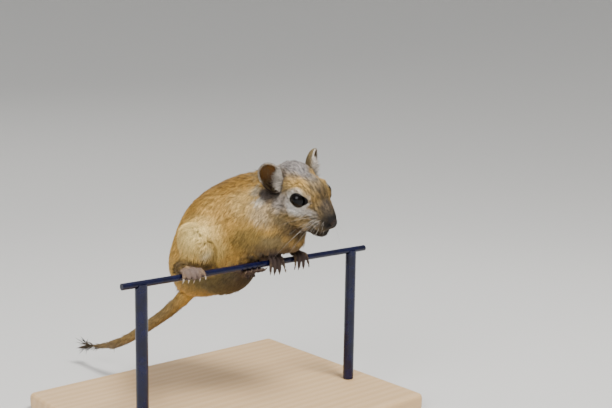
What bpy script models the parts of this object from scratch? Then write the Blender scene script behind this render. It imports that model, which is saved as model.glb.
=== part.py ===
# Mongolian gerbil leaning out over a wire perch, on a plain display stand.
# Life size, metres, +Z up. The origin is under the middle of the whole, at the floor.
#
# The body is laid out in the perch frame, in millimetres: X runs along the wire,
# Y to the side where the rump hangs, Z up, and zero is on the wire's axis under
# the toes of the right hind foot. The head looks out over the wire, towards -Y.
import math
import random

import bmesh
import bpy
from mathutils import Matrix, Vector
from mathutils.bvhtree import BVHTree

MM = 0.001
GAP = 0.3                        # thin cut between two nodes that touch

# Perch and stand
WIRE_RADIUS = 1.35
WIRE_ENDS_X = (-34.0, 97.0)
ROD_RADIUS = 2.5
RODS_X = {"stand_rod_left": -25.3, "stand_rod_right": 88.4}
BASE_X = (-38.5, 101.5)
BASE_Y = (-37.0, 77.0)
BASE_THICKNESS = 8.0
WIRE_ABOVE_BASE = 63.0
EDGE_ROUND = 2.0

# Grain of the modelled surface: voxel in mm, triangles kept, rounds of smoothing
BODY_VOXEL = 0.9
BODY_TRIANGLES = 4200
CORE_SMOOTHING = 32
BODY_SMOOTHING = 5
HEAD_VOXEL = 0.5
HEAD_TRIANGLES = 3000
HEAD_SMOOTHING = 8
FOOT_VOXEL = 0.38
FOOT_TRIANGLES = 780
FOOT_SMOOTHING = 2

# Trunk: centre, half width and half height of the sections, from rump to neck
TRUNK = [
    (28.5, 45.5, -18.0, 6.5, 6.5),
    (29.0, 40.5, -10.5, 14.5, 15.0),
    (30.5, 31.0, 2.0, 16.5, 19.1),
    (32.0, 22.5, 10.8, 16.8, 20.9),
    (37.0, 14.0, 17.0, 16.2, 20.9),
    (42.5, 8.0, 21.3, 15.0, 19.6),
    (46.5, 2.0, 24.7, 13.4, 17.0),
    (48.5, -3.5, 27.7, 11.4, 14.0),
]
ALONG_TRUNK = Vector((0.30, -0.80, 0.52))
ACROSS_TRUNK = Vector((0.80, 0.60, 0.0))
BREAST_AT = (47.5, -2.5, 12.5)
BREAST_RADIUS = 8.6
BELLY_AT = (31.5, 20.5, -5.5)
BELLY_RADII = (15.0, 12.5, 11.4)
NAPE_AT = (46.5, 2.5, 31.5)
NAPE_RADII = (11.5, 13.0, 10.0)
HAUNCH_ACROSS = 8.8
HAUNCH_DEEP = 13.8
SHOULDERS = {"right": (38.0, 1.5, 18.5), "left": (53.5, 6.0, 20.5)}
SHOULDER_RADII = (8.5, 5.5, 9.0)

# Head frame: midway between the ear roots, with the way it faces and its left
HEAD_AT = Vector((48.3, -5.8, 33.6))
HEAD_FORWARD = Vector((0.048, -0.947, -0.319))
HEAD_LEFT = Vector((0.984, -0.011, 0.180))
HEAD_SCALE = 0.966

EYE_RADIUS = 3.4
EYE_AT = (10.9, 7.4, 0.9)
EYE_LOOKS = (0.30, 0.94, 0.14)
LID_RADIUS = 0.55                # roll of the lid
LID_RING = 3.35                  # from the eye's axis to the middle of the roll
LID_OUT = 1.2                    # the roll's plane, out from the middle of the ball
LID_CORNER = 1.1                 # how far the front corner is drawn out
LID_CORNER_WAY = (0.96, 0.0, 0.28)
LID_CORNER_SHARP = 6
LID_STEPS = 24
SOCKET_RADII = (2.9, 5.6, 5.4)
SOCKET_IN = 0.5

EAR_ROOT = (-0.8, 9.8, 0.6)
EAR_TIP = (-3.8, 15.2, 12.0)
EAR_WIDTH = 9.1
EAR_DEPTH = 3.6
EAR_WALL = 0.7
EAR_TAPER = 0.2                  # wider towards the tip, narrower at the root
EAR_OPENS = (0.80, 0.60, 0.10)

# Mouth and nostrils: a point inside the snout, and the way out to the surface
MOUTH_FROM = (15.5, 0.0, -10.4)
MOUTH_OPEN = 78.0                # degrees to each side of straight ahead
MOUTH_DROP = -0.10
MOUTH_CUT = 0.4
CLEFT_CUT = 0.3
NOSE_FROM = (23.4, 0.0, -5.8)
NOSTRIL_WAY = (0.80, 0.58, -0.16)
NOSTRIL_RADII = (0.8, 0.45, 0.6)

# Hind legs: hip, knee, heel and ball of the foot, right then left
HIND = {
    "right": {"hip": (20.0, 29.0, 3.0), "knee": (11.5, 9.5, 8.5),
              "heel": (7.0, 22.0, -2.0), "ball": (-2.0, 3.8, 2.6)},
    "left": {"hip": (37.0, 39.0, 0.0), "knee": (49.0, 25.0, 5.0),
             "heel": (41.0, 29.0, -8.0), "ball": (31.0, 4.4, -3.8)},
}
# Toes over the wire: degrees from +Y over the top, then how far they hang on
HIND_GRIP = {"right": (62.0, 184.0, 0.6), "left": (-40.0, -125.0, 0.4)}
FORE_GRIP = {"right": (62.0, 186.0, 4.0), "left": (62.0, 188.0, 3.4)}
# Forelegs: shoulder, elbow, wrist
FORE = {
    "right": {"shoulder": (36.5, 2.5, 15.0), "elbow": (35.5, 9.5, 5.5), "wrist": (41.6, 3.0, 3.4)},
    "left": {"shoulder": (54.5, 3.0, 16.0), "elbow": (58.0, 9.5, 6.5), "wrist": (55.5, 3.0, 3.4)},
}

# Feet: shank, sole, knuckles, toes and claws
TOES_BEGIN_Y = 6.0               # between the shank and the toes, for the clearances
FOOT_STARTS = 0.35               # share of the way from the heel or elbow to the ball
HIND_SHANK = (3.4, 2.9, 2.3)     # radius at the heel, half way and at the ball
FORE_SHANK = (5.0, 3.7, 2.3)     # radius at the elbow, half way and at the wrist
SOLE_WIDTH = 0.8                 # share of the width of all the toes side by side
SOLE_HALF_SIZES = (2.4, 1.6)     # half length and half height
KNUCKLES_AT = 0.6                # share of the way from the ball to where the toes rest
KNUCKLES_HALF_SIZES = (1.9, 1.3)
HIND_TOES = {"toes": 5, "spread": 8.2, "radius": 0.92, "claw": 1.7}
FORE_TOES = {"toes": 4, "spread": 5.8, "radius": 0.8, "claw": 1.6}
OUTER_TOE_SHORTER = 0.22         # share that the outermost toes are shorter
TOE_ROOTS_CLOSER = 0.62          # spread of the toes' roots against that of the toes
TOE_FAN = 0.25                   # how much wider the toes end than they start
TOE_STEPS = 4
TOE_ROOT_WIDER, TOE_TIP_NARROWER = 1.15, 0.85
CLAW_STEPS = 3
CLAW_ROOT, CLAW_POINT = 0.45, 0.12   # radius: share of the toe's, and at the point
CLAW_BEND = 0.5

# Tail: centre line and radius, from the rump to the end of the flesh
TAIL = [
    (28.6, 44.5, -18.0, 4.2),
    (25.8, 49.7, -24.6, 3.5),
    (22.2, 56.5, -31.5, 3.0),
    (18.0, 68.0, -40.4, 2.7),
    (15.4, 80.8, -48.6, 2.5),
    (13.4, 93.0, -54.3, 2.3),
    (12.0, 105.0, -57.7, 2.1),
    (11.2, 117.0, -59.9, 1.0),
]
ACROSS_TAIL = Vector((0.93, 0.36, 0.0))
TAIL_STEPS = 6                   # steps of the curve to each span of the list
TAIL_CUTS = (4, 17, 30)          # steps at which a length of the tail starts

# Brush of longer hair round the end of the tail
BRUSH_LOCKS = 32
BRUSH_STARTS_STEP = 27
LOCK_LENGTH = (8.0, 11.5)
LOCK_HALF_WIDTH = 0.85
LOCK_HALF_THICKNESS = 0.4
LOCK_TIP = 0.12
LOCK_SPREAD = (0.22, 0.34)
LOCK_STATIONS = (0.0, 0.35, 0.7, 1.0)
LOCK_BEND = 0.12                 # share of its length by which its tip bends back in
LOCK_TAPER = 1.6
LOCK_OFF_MIDDLE = 0.5
LOCK_TURN = 0.3                  # uneven turn from lock to lock, either way
BRUSH_FIRST, BRUSH_LAST = 4, 2   # steps kept clear at the start and at the end
GOLDEN_ANGLE = 2.39996

# Boxes that part the body into its nodes: centre and half sizes
HEAD_BOX = ((21.5, 0.0, 6.0), (29.0, 20.0, 22.8))        # in the head's frame
FRONT_BEGINS = (43.0, 10.0, 21.5)                        # middle of the cut behind the neck
FRONT_HALF_SIZE = 40.0
HINDLEG_BOXES = {"right": ((9.5, 16.0, 1.0), (19.0, 10.0, 18.0)),
                 "left": ((54.0, 34.0, -6.0), (20.0, 11.0, 17.0))}
HINDLEG_FACES = (0.55, -0.80, 0.0)
FORELEG_BOXES = {"right": ((36.5, 4.5, 8.4), (7.0, 10.5, 7.1)),
                 "left": ((59.0, 4.7, 7.5), (7.0, 10.7, 8.0))}
ANKLE_BOX = 20.0                                         # half size of the cut at the ankle
TAIL_ROOT_BOX = (10.0, 8.0, 8.0)

FUR = (0.62, 0.44, 0.22)
PALE_SKIN = (0.75, 0.58, 0.50)
EYE_BLACK = (0.01, 0.008, 0.008)
ENAMEL = (0.02, 0.03, 0.12)
WOOD = (0.62, 0.45, 0.28)


def clear_scene():
    for item in list(bpy.data.objects):
        bpy.data.objects.remove(item, do_unlink=True)


def new_collection(name):
    collection = bpy.data.collections.new(name)
    bpy.context.scene.collection.children.link(collection)
    return collection


def material(name, colour, roughness, metallic=0.0):
    finish = bpy.data.materials.new(name)
    finish.use_nodes = True
    shader = finish.node_tree.nodes["Principled BSDF"]
    shader.inputs["Base Color"].default_value = (*colour, 1.0)
    shader.inputs["Roughness"].default_value = roughness
    shader.inputs["Metallic"].default_value = metallic
    return finish


def object_from(bm, name, collection):
    mesh = bpy.data.meshes.new(name)
    bm.to_mesh(mesh)
    bm.free()
    item = bpy.data.objects.new(name, mesh)
    collection.objects.link(item)
    return item


def evaluated(item, name, collection):
    """The object with its modifiers applied, as a new object. The old one is removed."""
    graph = bpy.context.evaluated_depsgraph_get()
    mesh = bpy.data.meshes.new_from_object(item.evaluated_get(graph))
    fresh = bpy.data.objects.new(name, mesh)
    collection.objects.link(fresh)
    bpy.data.objects.remove(item, do_unlink=True)
    return fresh


def axes_from(forward, side):
    """Columns forward, left and up, made square to one another."""
    forward = Vector(forward).normalized()
    up = forward.cross(Vector(side)).normalized()
    left = up.cross(forward).normalized()
    return Matrix((forward, left, up)).transposed()


HEAD_AXES = axes_from(HEAD_FORWARD, HEAD_LEFT)


def in_head(point, side=1):
    """A point of the head's own frame in the perch frame, with its left side mirrored for -1."""
    x, y, z = point
    return HEAD_AT + HEAD_AXES @ Vector((x, y * side, z)) * HEAD_SCALE


def head_direction(direction, side=1):
    x, y, z = direction
    return (HEAD_AXES @ Vector((x, y * side, z))).normalized()


def smooth_path(points, steps):
    """Catmull-Rom curve through points of any length, steps to a span."""
    padded = [points[0]] + list(points) + [points[-1]]
    path = []
    for i in range(1, len(padded) - 2):
        p0, p1, p2, p3 = padded[i - 1:i + 3]
        for step in range(steps):
            t = step / steps
            path.append(tuple(
                0.5 * (2 * b + (c - a) * t + (2 * a - 5 * b + 4 * c - d) * t * t
                       + (3 * b - a - 3 * c + d) * t ** 3)
                for a, b, c, d in zip(p0, p1, p2, p3)))
    path.append(tuple(points[-1]))
    return path


def add_ellipsoid(bm, centre, radii, axes=None, segments=24):
    turn = (axes or Matrix.Identity(3)).to_4x4()
    sizes = [radius * MM for radius in radii]
    place = Matrix.Translation(Vector(centre) * MM) @ turn @ Matrix.Diagonal((*sizes, 1.0))
    return bmesh.ops.create_uvsphere(bm, u_segments=segments, v_segments=segments // 2,
                                     radius=1.0, matrix=place)["verts"]


def add_loft(bm, sections, side_hint, segments=20):
    """Closed tube through sections of x, y, z, half width and half height."""
    rings = []
    for i, (x, y, z, half_width, half_height) in enumerate(sections):
        before = Vector(sections[max(i - 1, 0)][:3])
        after = Vector(sections[min(i + 1, len(sections) - 1)][:3])
        axes = axes_from(after - before, side_hint)
        plane = Matrix((axes.col[1], axes.col[2], axes.col[0])).transposed().to_4x4()
        place = (Matrix.Translation(Vector((x, y, z)) * MM) @ plane
                 @ Matrix.Diagonal((half_width * MM, half_height * MM, MM, 1.0)))
        ring = bmesh.ops.create_circle(bm, segments=segments, radius=1.0, matrix=place)["verts"]
        rings.append({edge for vert in ring for edge in vert.link_edges})
    for first, second in zip(rings, rings[1:]):
        bmesh.ops.bridge_loops(bm, edges=list(first | second))
    for ring in (rings[0], rings[-1]):
        bmesh.ops.contextual_create(bm, geom=list(ring))


def add_limb(bm, points, steps=4, segments=16):
    """Round tube through points of x, y, z and radius, with ball ends."""
    sections = [(x, y, z, r, r) for x, y, z, r in smooth_path(points, steps)]
    add_loft(bm, sections, side_hint=ACROSS_TAIL, segments=segments)
    for x, y, z, r in (points[0], points[-1]):
        add_ellipsoid(bm, (x, y, z), (r, r, r), segments=16)


def add_head(bm):
    """Skull, cheeks, brow, muzzle and jaw, in the head's own frame."""
    def blob(x, y, z, radii):
        for side in ((1, -1) if y else (1,)):
            scaled = [r * HEAD_SCALE for r in radii]
            add_ellipsoid(bm, in_head((x, y, z), side), scaled, HEAD_AXES)

    blob(-0.9, 0.0, 0.6, (11.9, 10.6, 11.0))         # skull
    blob(9.0, 0.0, 1.4, (11.5, 7.6, 8.6))            # forehead
    blob(6.5, 4.8, -5.2, (9.5, 6.2, 8.6))            # cheeks
    blob(11.0, 4.4, 1.0, (6.4, 4.4, 5.2))            # orbits
    blob(8.0, 0.0, -10.5, (12.0, 8.0, 7.4))          # throat and jaw
    blob(17.6, 0.0, -12.6, (5.8, 4.2, 3.8))          # chin
    blob(21.0, 2.4, -7.6, (4.8, 3.2, 4.0))           # whisker pads
    muzzle = [(8.0, -2.0, 8.4, 8.8), (13.0, -2.4, 7.4, 8.5), (17.5, -3.4, 6.0, 7.3),
              (22.0, -4.7, 4.5, 5.4), (25.2, -5.4, 3.0, 3.4), (26.8, -5.8, 1.5, 1.7)]
    sections = []
    for x, z, width, height in smooth_path(muzzle, 3):
        sections.append((*in_head((x, 0.0, z)), width * HEAD_SCALE, height * HEAD_SCALE))
    add_loft(bm, sections, side_hint=HEAD_AXES.col[1])
    for side in (1, -1):
        looks = head_direction(EYE_LOOKS, side)
        place = in_head(EYE_AT, side) - looks * SOCKET_IN
        add_ellipsoid(bm, place, SOCKET_RADII, axes_from(looks, HEAD_AXES.col[0]))


def lid_roll(side):
    """Rolled rim of the lids, drawn out to a point at the front corner of the eye."""
    looks = head_direction(EYE_LOOKS, side)
    axes = axes_from(looks, HEAD_AXES.col[0])
    centre = in_head(EYE_AT, side) + looks * LID_OUT
    corner = head_direction(LID_CORNER_WAY)
    ring = []
    for step in range(LID_STEPS):
        angle = math.tau * step / LID_STEPS
        way = axes.col[1] * math.cos(angle) + axes.col[2] * math.sin(angle)
        ring.append(centre + way * (LID_RING + LID_CORNER * max(0.0, way.dot(corner)) ** LID_CORNER_SHARP))
    bm = bmesh.new()
    loops = []
    for before, here, after in zip(ring[-1:] + ring, ring, ring[1:] + ring[:1]):
        across = axes_from(after - before, looks)
        plane = Matrix((across.col[1], across.col[2], across.col[0])).transposed().to_4x4()
        place = Matrix.Translation(here * MM) @ plane
        verts = bmesh.ops.create_circle(bm, segments=8, radius=LID_RADIUS * MM, matrix=place)["verts"]
        loops.append({edge for vert in verts for edge in vert.link_edges})
    for first, second in zip(loops, loops[1:] + loops[:1]):
        bmesh.ops.bridge_loops(bm, edges=list(first | second))
    bmesh.ops.recalc_face_normals(bm, faces=bm.faces)
    return object_from(bm, "lid_roll", work)


def add_trunk(bm):
    """Barrel of the body, with the haunches, the shoulders and the breast."""
    add_loft(bm, smooth_path(TRUNK, 3), side_hint=ACROSS_TRUNK, segments=28)
    trunk_axes = axes_from(ALONG_TRUNK, ACROSS_TRUNK)
    add_ellipsoid(bm, BREAST_AT, (BREAST_RADIUS,) * 3)
    add_ellipsoid(bm, BELLY_AT, BELLY_RADII, trunk_axes)
    add_ellipsoid(bm, NAPE_AT, NAPE_RADII, trunk_axes)
    for side, leg in HIND.items():
        hip, knee = Vector(leg["hip"]), Vector(leg["knee"])
        along = axes_from(knee - hip, ACROSS_TRUNK)
        radii = ((knee - hip).length * 0.66, HAUNCH_ACROSS, HAUNCH_DEEP)
        add_ellipsoid(bm, (hip + knee) / 2, radii, along)
        add_ellipsoid(bm, SHOULDERS[side], SHOULDER_RADII, trunk_axes)


def add_hind_leg(bm, side):
    leg = HIND[side]
    knee, heel, ball = (Vector(leg[k]) for k in ("knee", "heel", "ball"))
    add_limb(bm, [(*knee, 5.5), (*((knee + heel) / 2), 4.6), (*heel, 3.0)])
    add_limb(bm, [(*heel, 3.0), (*heel.lerp(ball, 0.5), 2.7), (*heel.lerp(ball, 0.8), 2.4)])


def add_foreleg(bm, side):
    leg = FORE[side]
    shoulder, elbow, wrist = (Vector(leg[k]) for k in ("shoulder", "elbow", "wrist"))
    add_limb(bm, [(*shoulder, 6.5), (*elbow, 4.4)])
    add_limb(bm, [(*elbow, 4.2), (*elbow.lerp(wrist, 0.5), 3.2), (*wrist, 2.2)])


def add_tail_root(bm):
    add_limb(bm, TAIL[:3])


def fuse(bm, name, voxel, smoothing, triangles=None):
    """Closed shapes melted into one skin, smoothed, and thinned to a count of triangles."""
    item = object_from(bm, name + "_masses", work)
    remesh = item.modifiers.new("remesh", "REMESH")
    remesh.mode = "VOXEL"
    remesh.voxel_size = voxel * MM
    smooth = item.modifiers.new("smooth", "SMOOTH")
    smooth.iterations = smoothing
    item = evaluated(item, name, work)
    if triangles:
        item.data.calc_loop_triangles()
        thin = item.modifiers.new("thin", "DECIMATE")
        thin.ratio = min(1.0, triangles / len(item.data.loop_triangles))
        item = evaluated(item, name, work)
    return item


def box_object(name, centre, half_sizes, axes, grow=0.0):
    """Turned box used to part the body."""
    bm = bmesh.new()
    sizes = [2 * (half + grow) * MM for half in half_sizes]
    place = (Matrix.Translation(Vector(centre) * MM) @ axes.to_4x4()
             @ Matrix.Diagonal((*sizes, 1.0)))
    bmesh.ops.create_cube(bm, size=1.0, matrix=place)
    return object_from(bm, name, work)


def wire_cutter(grow):
    bm = bmesh.new()
    length = (WIRE_ENDS_X[1] - WIRE_ENDS_X[0] + 20) * MM
    centre = Vector((sum(WIRE_ENDS_X) / 2, 0, 0)) * MM
    place = Matrix.Translation(centre) @ Matrix.Rotation(math.pi / 2, 4, "Y")
    radius = (WIRE_RADIUS + grow) * MM
    bmesh.ops.create_cone(bm, cap_ends=True, segments=20, radius1=radius, radius2=radius,
                          depth=length, matrix=place)
    return object_from(bm, "wire_cutter", work)


def keep_largest(item):
    """Drop loose scraps, so that the node stays one closed body."""
    bm = bmesh.new()
    bm.from_mesh(item.data)
    bm.verts.ensure_lookup_table()
    seen, groups = set(), []
    for start in bm.verts:
        if start in seen:
            continue
        group, todo = [], [start]
        seen.add(start)
        while todo:
            vert = todo.pop()
            group.append(vert)
            for edge in vert.link_edges:
                other = edge.other_vert(vert)
                if other not in seen:
                    seen.add(other)
                    todo.append(other)
        groups.append(group)
    groups.sort(key=len)
    bmesh.ops.delete(bm, geom=[v for group in groups[:-1] for v in group], context="VERTS")
    bm.to_mesh(item.data)
    bm.free()


def carve(item, operation, cutters, name=None):
    """Boolean with each cutter in turn, applied, and the cutters removed."""
    for cutter in cutters:
        step = item.modifiers.new(operation.lower(), "BOOLEAN")
        step.operation = operation
        step.solver = "EXACT"
        step.object = cutter
        item = evaluated(item, name or item.name, work)
        bpy.data.objects.remove(cutter, do_unlink=True)
    keep_largest(item)
    return item


def copy_of(item, name):
    fresh = item.copy()
    fresh.data = item.data.copy()
    fresh.name = name
    work.objects.link(fresh)
    return fresh


def finish_node(item, name, finish):
    """Give the node its name, its material and its place on the stand."""
    item.name = name
    item.data.name = name
    item.data.materials.clear()
    item.data.materials.append(finish)
    item.data.shade_smooth()
    item.data.set_sharp_from_angle(angle=math.radians(50))
    for collection in list(item.users_collection):
        collection.objects.unlink(item)
    model.objects.link(item)
    item.parent = perch_frame
    return item


def regions():
    """Boxes that part the body: centre, half sizes and axes."""
    trunk_way = axes_from(ALONG_TRUNK, ACROSS_TRUNK)
    flank_way = axes_from(HINDLEG_FACES, ACROSS_TRUNK)
    front_at = Vector(FRONT_BEGINS) + trunk_way.col[0] * FRONT_HALF_SIZE
    boxes = {
        "head": (in_head(HEAD_BOX[0]), HEAD_BOX[1], HEAD_AXES),
        "front": (front_at, (FRONT_HALF_SIZE,) * 3, trunk_way),
    }
    for side in ("right", "left"):
        centre, half_sizes = HINDLEG_BOXES[side]
        boxes["hindleg_" + side] = (Vector(centre), half_sizes, flank_way)
        centre, half_sizes = FORELEG_BOXES[side]
        boxes["foreleg_" + side] = (Vector(centre), half_sizes, Matrix.Identity(3))
    return boxes


def gripping_toe(bm, x, lean, grip, radius, claw, root):
    """Toe bent over the wire from one angle to another, hanging on, with its claw."""
    start, stop, hang = grip
    reach = WIRE_RADIUS + GAP + radius
    points = [(*root, radius * TOE_ROOT_WIDER)]
    for step in range(TOE_STEPS + 1):
        angle = math.radians(start + (stop - start) * step / TOE_STEPS)
        along = x + lean * step / TOE_STEPS
        points.append((along, reach * math.cos(angle), reach * math.sin(angle), radius))
    turn = math.copysign(1.0, stop - start)
    angle = math.radians(stop)
    onward = Vector((lean * 0.2, -turn * math.sin(angle), turn * math.cos(angle))).normalized()
    tip = Vector(points[-1][:3]) + onward * hang
    points.append((*tip, radius * TOE_TIP_NARROWER))
    add_limb(bm, points, steps=2, segments=10)
    sections = []
    for step in range(CLAW_STEPS + 1):
        t = step / CLAW_STEPS
        centre = tip + onward * (radius * 0.5 + claw * t) + Vector((0, CLAW_BEND * t * t, 0))
        width = radius * CLAW_ROOT * (1 - t) + CLAW_POINT
        sections.append((*centre, width, width))
    add_loft(bm, sections, side_hint=(1, 0, 0), segments=8)


def foot(name, ball, heel, shank, grip, toes, spread, radius, claw):
    """Sole with its toes bent over the wire, cut flat where the leg begins."""
    bm = bmesh.new()
    ball, heel = Vector(ball), Vector(heel)
    start, stop, hang = grip
    root, middle, end = shank
    add_limb(bm, [(*heel, root), (*heel.lerp(ball, 0.5), middle), (*ball, end)], segments=14)
    half_width = radius * toes * SOLE_WIDTH
    add_ellipsoid(bm, ball, (half_width, *SOLE_HALF_SIZES))
    reach = WIRE_RADIUS + GAP + radius
    angle = math.radians(start)
    rests = Vector((ball.x, reach * math.cos(angle), reach * math.sin(angle)))
    add_ellipsoid(bm, ball.lerp(rests, KNUCKLES_AT), (half_width, *KNUCKLES_HALF_SIZES))
    for toe in range(toes):
        place = toe / (toes - 1) - 0.5
        x = ball.x + spread * place
        root = (ball.x + spread * place * TOE_ROOTS_CLOSER, ball.y - 0.2, ball.z + 0.1)
        shorter = 1 - OUTER_TOE_SHORTER * abs(place)
        bent = (start, start + (stop - start) * shorter, hang * shorter)
        gripping_toe(bm, x, spread * place * TOE_FAN, bent, radius, claw, root)
    item = fuse(bm, name, FOOT_VOXEL, FOOT_SMOOTHING, FOOT_TRIANGLES)
    along = axes_from(ball - heel, (1.0, 0.0, 0.0))
    middle = heel.lerp(ball, FOOT_STARTS) + along.col[0] * ANKLE_BOX
    beyond = box_object("beyond_ankle", middle, (ANKLE_BOX,) * 3, along)
    item = carve(item, "INTERSECT", [beyond], name)
    return carve(item, "DIFFERENCE", [wire_cutter(GAP)], name)


def clearances(item):
    """Hulls of the shank and of the toes, a little larger, to cut the neighbours clear."""
    hulls = []
    for low, high in ((TOES_BEGIN_Y - 2.5, math.inf), (-math.inf, TOES_BEGIN_Y + 1.0)):
        bm = bmesh.new()
        for vert in item.data.vertices:
            if low <= vert.co.y / MM <= high:
                bmesh.ops.create_vert(bm, co=vert.co + vert.normal * GAP * 1.2 * MM)
        hull = bmesh.ops.convex_hull(bm, input=bm.verts)
        inside = {v for v in hull["geom_interior"] + hull["geom_unused"]
                  if isinstance(v, bmesh.types.BMVert)}
        bmesh.ops.delete(bm, geom=list(inside), context="VERTS")
        hulls.append(object_from(bm, item.name + "_clearance", work))
    return hulls


def build_feet():
    feet = {}
    for side, leg in HIND.items():
        name = "hindfoot_" + side
        feet[name] = foot(name, leg["ball"], leg["heel"], HIND_SHANK, HIND_GRIP[side], **HIND_TOES)
    for side, leg in FORE.items():
        name = "forepaw_" + side
        feet[name] = foot(name, leg["wrist"], leg["elbow"], FORE_SHANK, FORE_GRIP[side], **FORE_TOES)
    return feet


def ear_frame(side):
    """Middle of the ear, its axes (opening, across, rise) and half its length."""
    root, tip = in_head(EAR_ROOT, side), in_head(EAR_TIP, side)
    rise = (tip - root).normalized()
    opening = head_direction(EAR_OPENS, side)
    axes = axes_from(opening, rise.cross(opening))
    return root.lerp(tip, 0.5), axes, (tip - root).length / 2 + 1.0


def ear_shell(side, inset):
    middle, axes, half_length = ear_frame(side)
    bm = bmesh.new()
    radii = (EAR_DEPTH - inset, EAR_WIDTH / 2 - inset, half_length - inset)
    for vert in add_ellipsoid(bm, middle, radii, axes, 18):
        offset = vert.co / MM - middle
        rise = offset.dot(axes.col[2]) / half_length
        vert.co += axes.col[1] * offset.dot(axes.col[1]) * EAR_TAPER * rise * MM
    return object_from(bm, "ear_shell", work)


def ear(side):
    """Oval cup, its wall as thin as the real one, its root sunk in the head."""
    middle, axes, half_length = ear_frame(side)
    front = box_object("ear_front", middle + axes.col[0] * 20.6, (20, 20, 20), axes)
    cutters = [ear_shell(side, EAR_WALL), front]
    return carve(ear_shell(side, 0.0), "DIFFERENCE", cutters, "ear")


def eye(side):
    return ball_at(in_head(EYE_AT, side), EYE_RADIUS)


def ball_at(centre, radius):
    bm = bmesh.new()
    add_ellipsoid(bm, centre, (radius,) * 3, HEAD_AXES, 18)
    return object_from(bm, "ball", work)


def way_out(skin, start, way):
    """Where a line from inside the snout comes out of the skin."""
    hit = skin.ray_cast(in_head(start) * MM, head_direction(way), 0.05)[0]
    return hit / MM


def groove(points, radius, name):
    """Thin tube to cut a line into the skin, finer towards both ends."""
    sections = []
    for number, point in enumerate(points):
        share = math.sin(math.pi * (number + 0.5) / len(points))
        sections.append((*point, *(radius * (0.4 + 0.6 * share),) * 2))
    bm = bmesh.new()
    add_loft(bm, sections, side_hint=HEAD_AXES.col[2], segments=6)
    bmesh.ops.recalc_face_normals(bm, faces=bm.faces)
    return object_from(bm, name, work)


def snout_cutters(head):
    """Line of the mouth, cleft of the upper lip and the two nostrils."""
    skin = BVHTree.FromObject(head, bpy.context.evaluated_depsgraph_get())
    line = []
    steps = 12
    for step in range(steps + 1):
        angle = math.radians(MOUTH_OPEN * (2 * step / steps - 1))
        line.append(way_out(skin, MOUTH_FROM, (math.cos(angle), math.sin(angle), MOUTH_DROP)))
    cutters = [groove(line, MOUTH_CUT, "mouth")]
    middle = line[steps // 2]
    cleft = [middle - HEAD_AXES.col[0] * 0.6]
    for drop in (-1.2, -0.8, -0.5):
        cleft.append(way_out(skin, NOSE_FROM, (1.0, 0.0, drop)))
    cutters.append(groove(cleft, CLEFT_CUT, "cleft"))
    x, y, z = NOSTRIL_WAY
    for side in (1, -1):
        bm = bmesh.new()
        spot = way_out(skin, NOSE_FROM, (x, y * side, z))
        add_ellipsoid(bm, spot, NOSTRIL_RADII, HEAD_AXES, 12)
        cutters.append(object_from(bm, "nostril", work))
    return cutters


def tail_path():
    return smooth_path([(x, y, z, r, r) for x, y, z, r in TAIL], TAIL_STEPS)


def build_tail():
    """Three lengths, each cut square across, and the brush round the last of them."""
    path = tail_path()
    cuts = (*TAIL_CUTS, len(path) - 1)
    pieces = {}
    for name, first, last in zip(("tail_base", "tail_mid", "tail_tip"), cuts, cuts[1:]):
        bm = bmesh.new()
        sections = [list(p) for p in path[first:last + 1]]
        onward = (Vector(sections[1][:3]) - Vector(sections[0][:3])).normalized()
        sections[0][:3] = Vector(sections[0][:3]) + onward * GAP
        add_loft(bm, sections, side_hint=ACROSS_TAIL, segments=14)
        bmesh.ops.recalc_face_normals(bm, faces=bm.faces)
        pieces[name] = object_from(bm, name, work)
    pieces["tail_tip"] = with_brush(pieces["tail_tip"], path)
    return pieces


def tail_lock(name, root, way, out, length):
    """Flat tapered lock, bent a little back towards the tail's line."""
    sections = []
    for t in LOCK_STATIONS:
        centre = root + way * length * t - out * length * LOCK_BEND * t * t
        narrow = 1 - t ** LOCK_TAPER
        sections.append((*centre, LOCK_HALF_WIDTH * narrow + LOCK_TIP,
                         LOCK_HALF_THICKNESS * narrow + LOCK_TIP))
    bm = bmesh.new()
    add_loft(bm, sections, side_hint=way.cross(out), segments=6)
    bmesh.ops.recalc_face_normals(bm, faces=bm.faces)
    return object_from(bm, name, locks)


def with_brush(tip, path):
    """The end of the tail with its locks, rooted on the tail's middle line, as one body."""
    draw = random.Random(4)
    first = BRUSH_STARTS_STEP + BRUSH_FIRST
    last = len(path) - BRUSH_LAST
    for number in range(BRUSH_LOCKS):
        step = first + int((last - first) * number / (BRUSH_LOCKS - 1))
        here, onward = Vector(path[step][:3]), Vector(path[step + 1][:3])
        axes = axes_from(onward - here, ACROSS_TAIL)
        angle = number * GOLDEN_ANGLE + draw.uniform(-LOCK_TURN, LOCK_TURN)
        out = axes.col[1] * math.cos(angle) + axes.col[2] * math.sin(angle)
        way = (axes.col[0] + out * draw.uniform(*LOCK_SPREAD)).normalized()
        tail_lock("lock", here + out * LOCK_OFF_MIDDLE, way, out, draw.uniform(*LOCK_LENGTH))
    union = tip.modifiers.new("brush", "BOOLEAN")
    union.operation = "UNION"
    union.solver = "EXACT"
    union.operand_type = "COLLECTION"
    union.collection = locks
    tip = evaluated(tip, "tail_tip", work)
    for item in list(locks.objects):
        bpy.data.objects.remove(item, do_unlink=True)
    keep_largest(tip)
    return tip


def beyond_tail_root():
    path = tail_path()
    here, onward = Vector(path[TAIL_CUTS[0]][:3]), Vector(path[TAIL_CUTS[0] + 1][:3])
    along = axes_from(onward - here, ACROSS_TAIL)
    return box_object("beyond_tail_root", here + along.col[0] * TAIL_ROOT_BOX[0], TAIL_ROOT_BOX, along)


def core_masses(core):
    """Fresh bmesh that starts from the smoothed trunk."""
    bm = bmesh.new()
    bm.from_mesh(core.data)
    return bm


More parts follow.
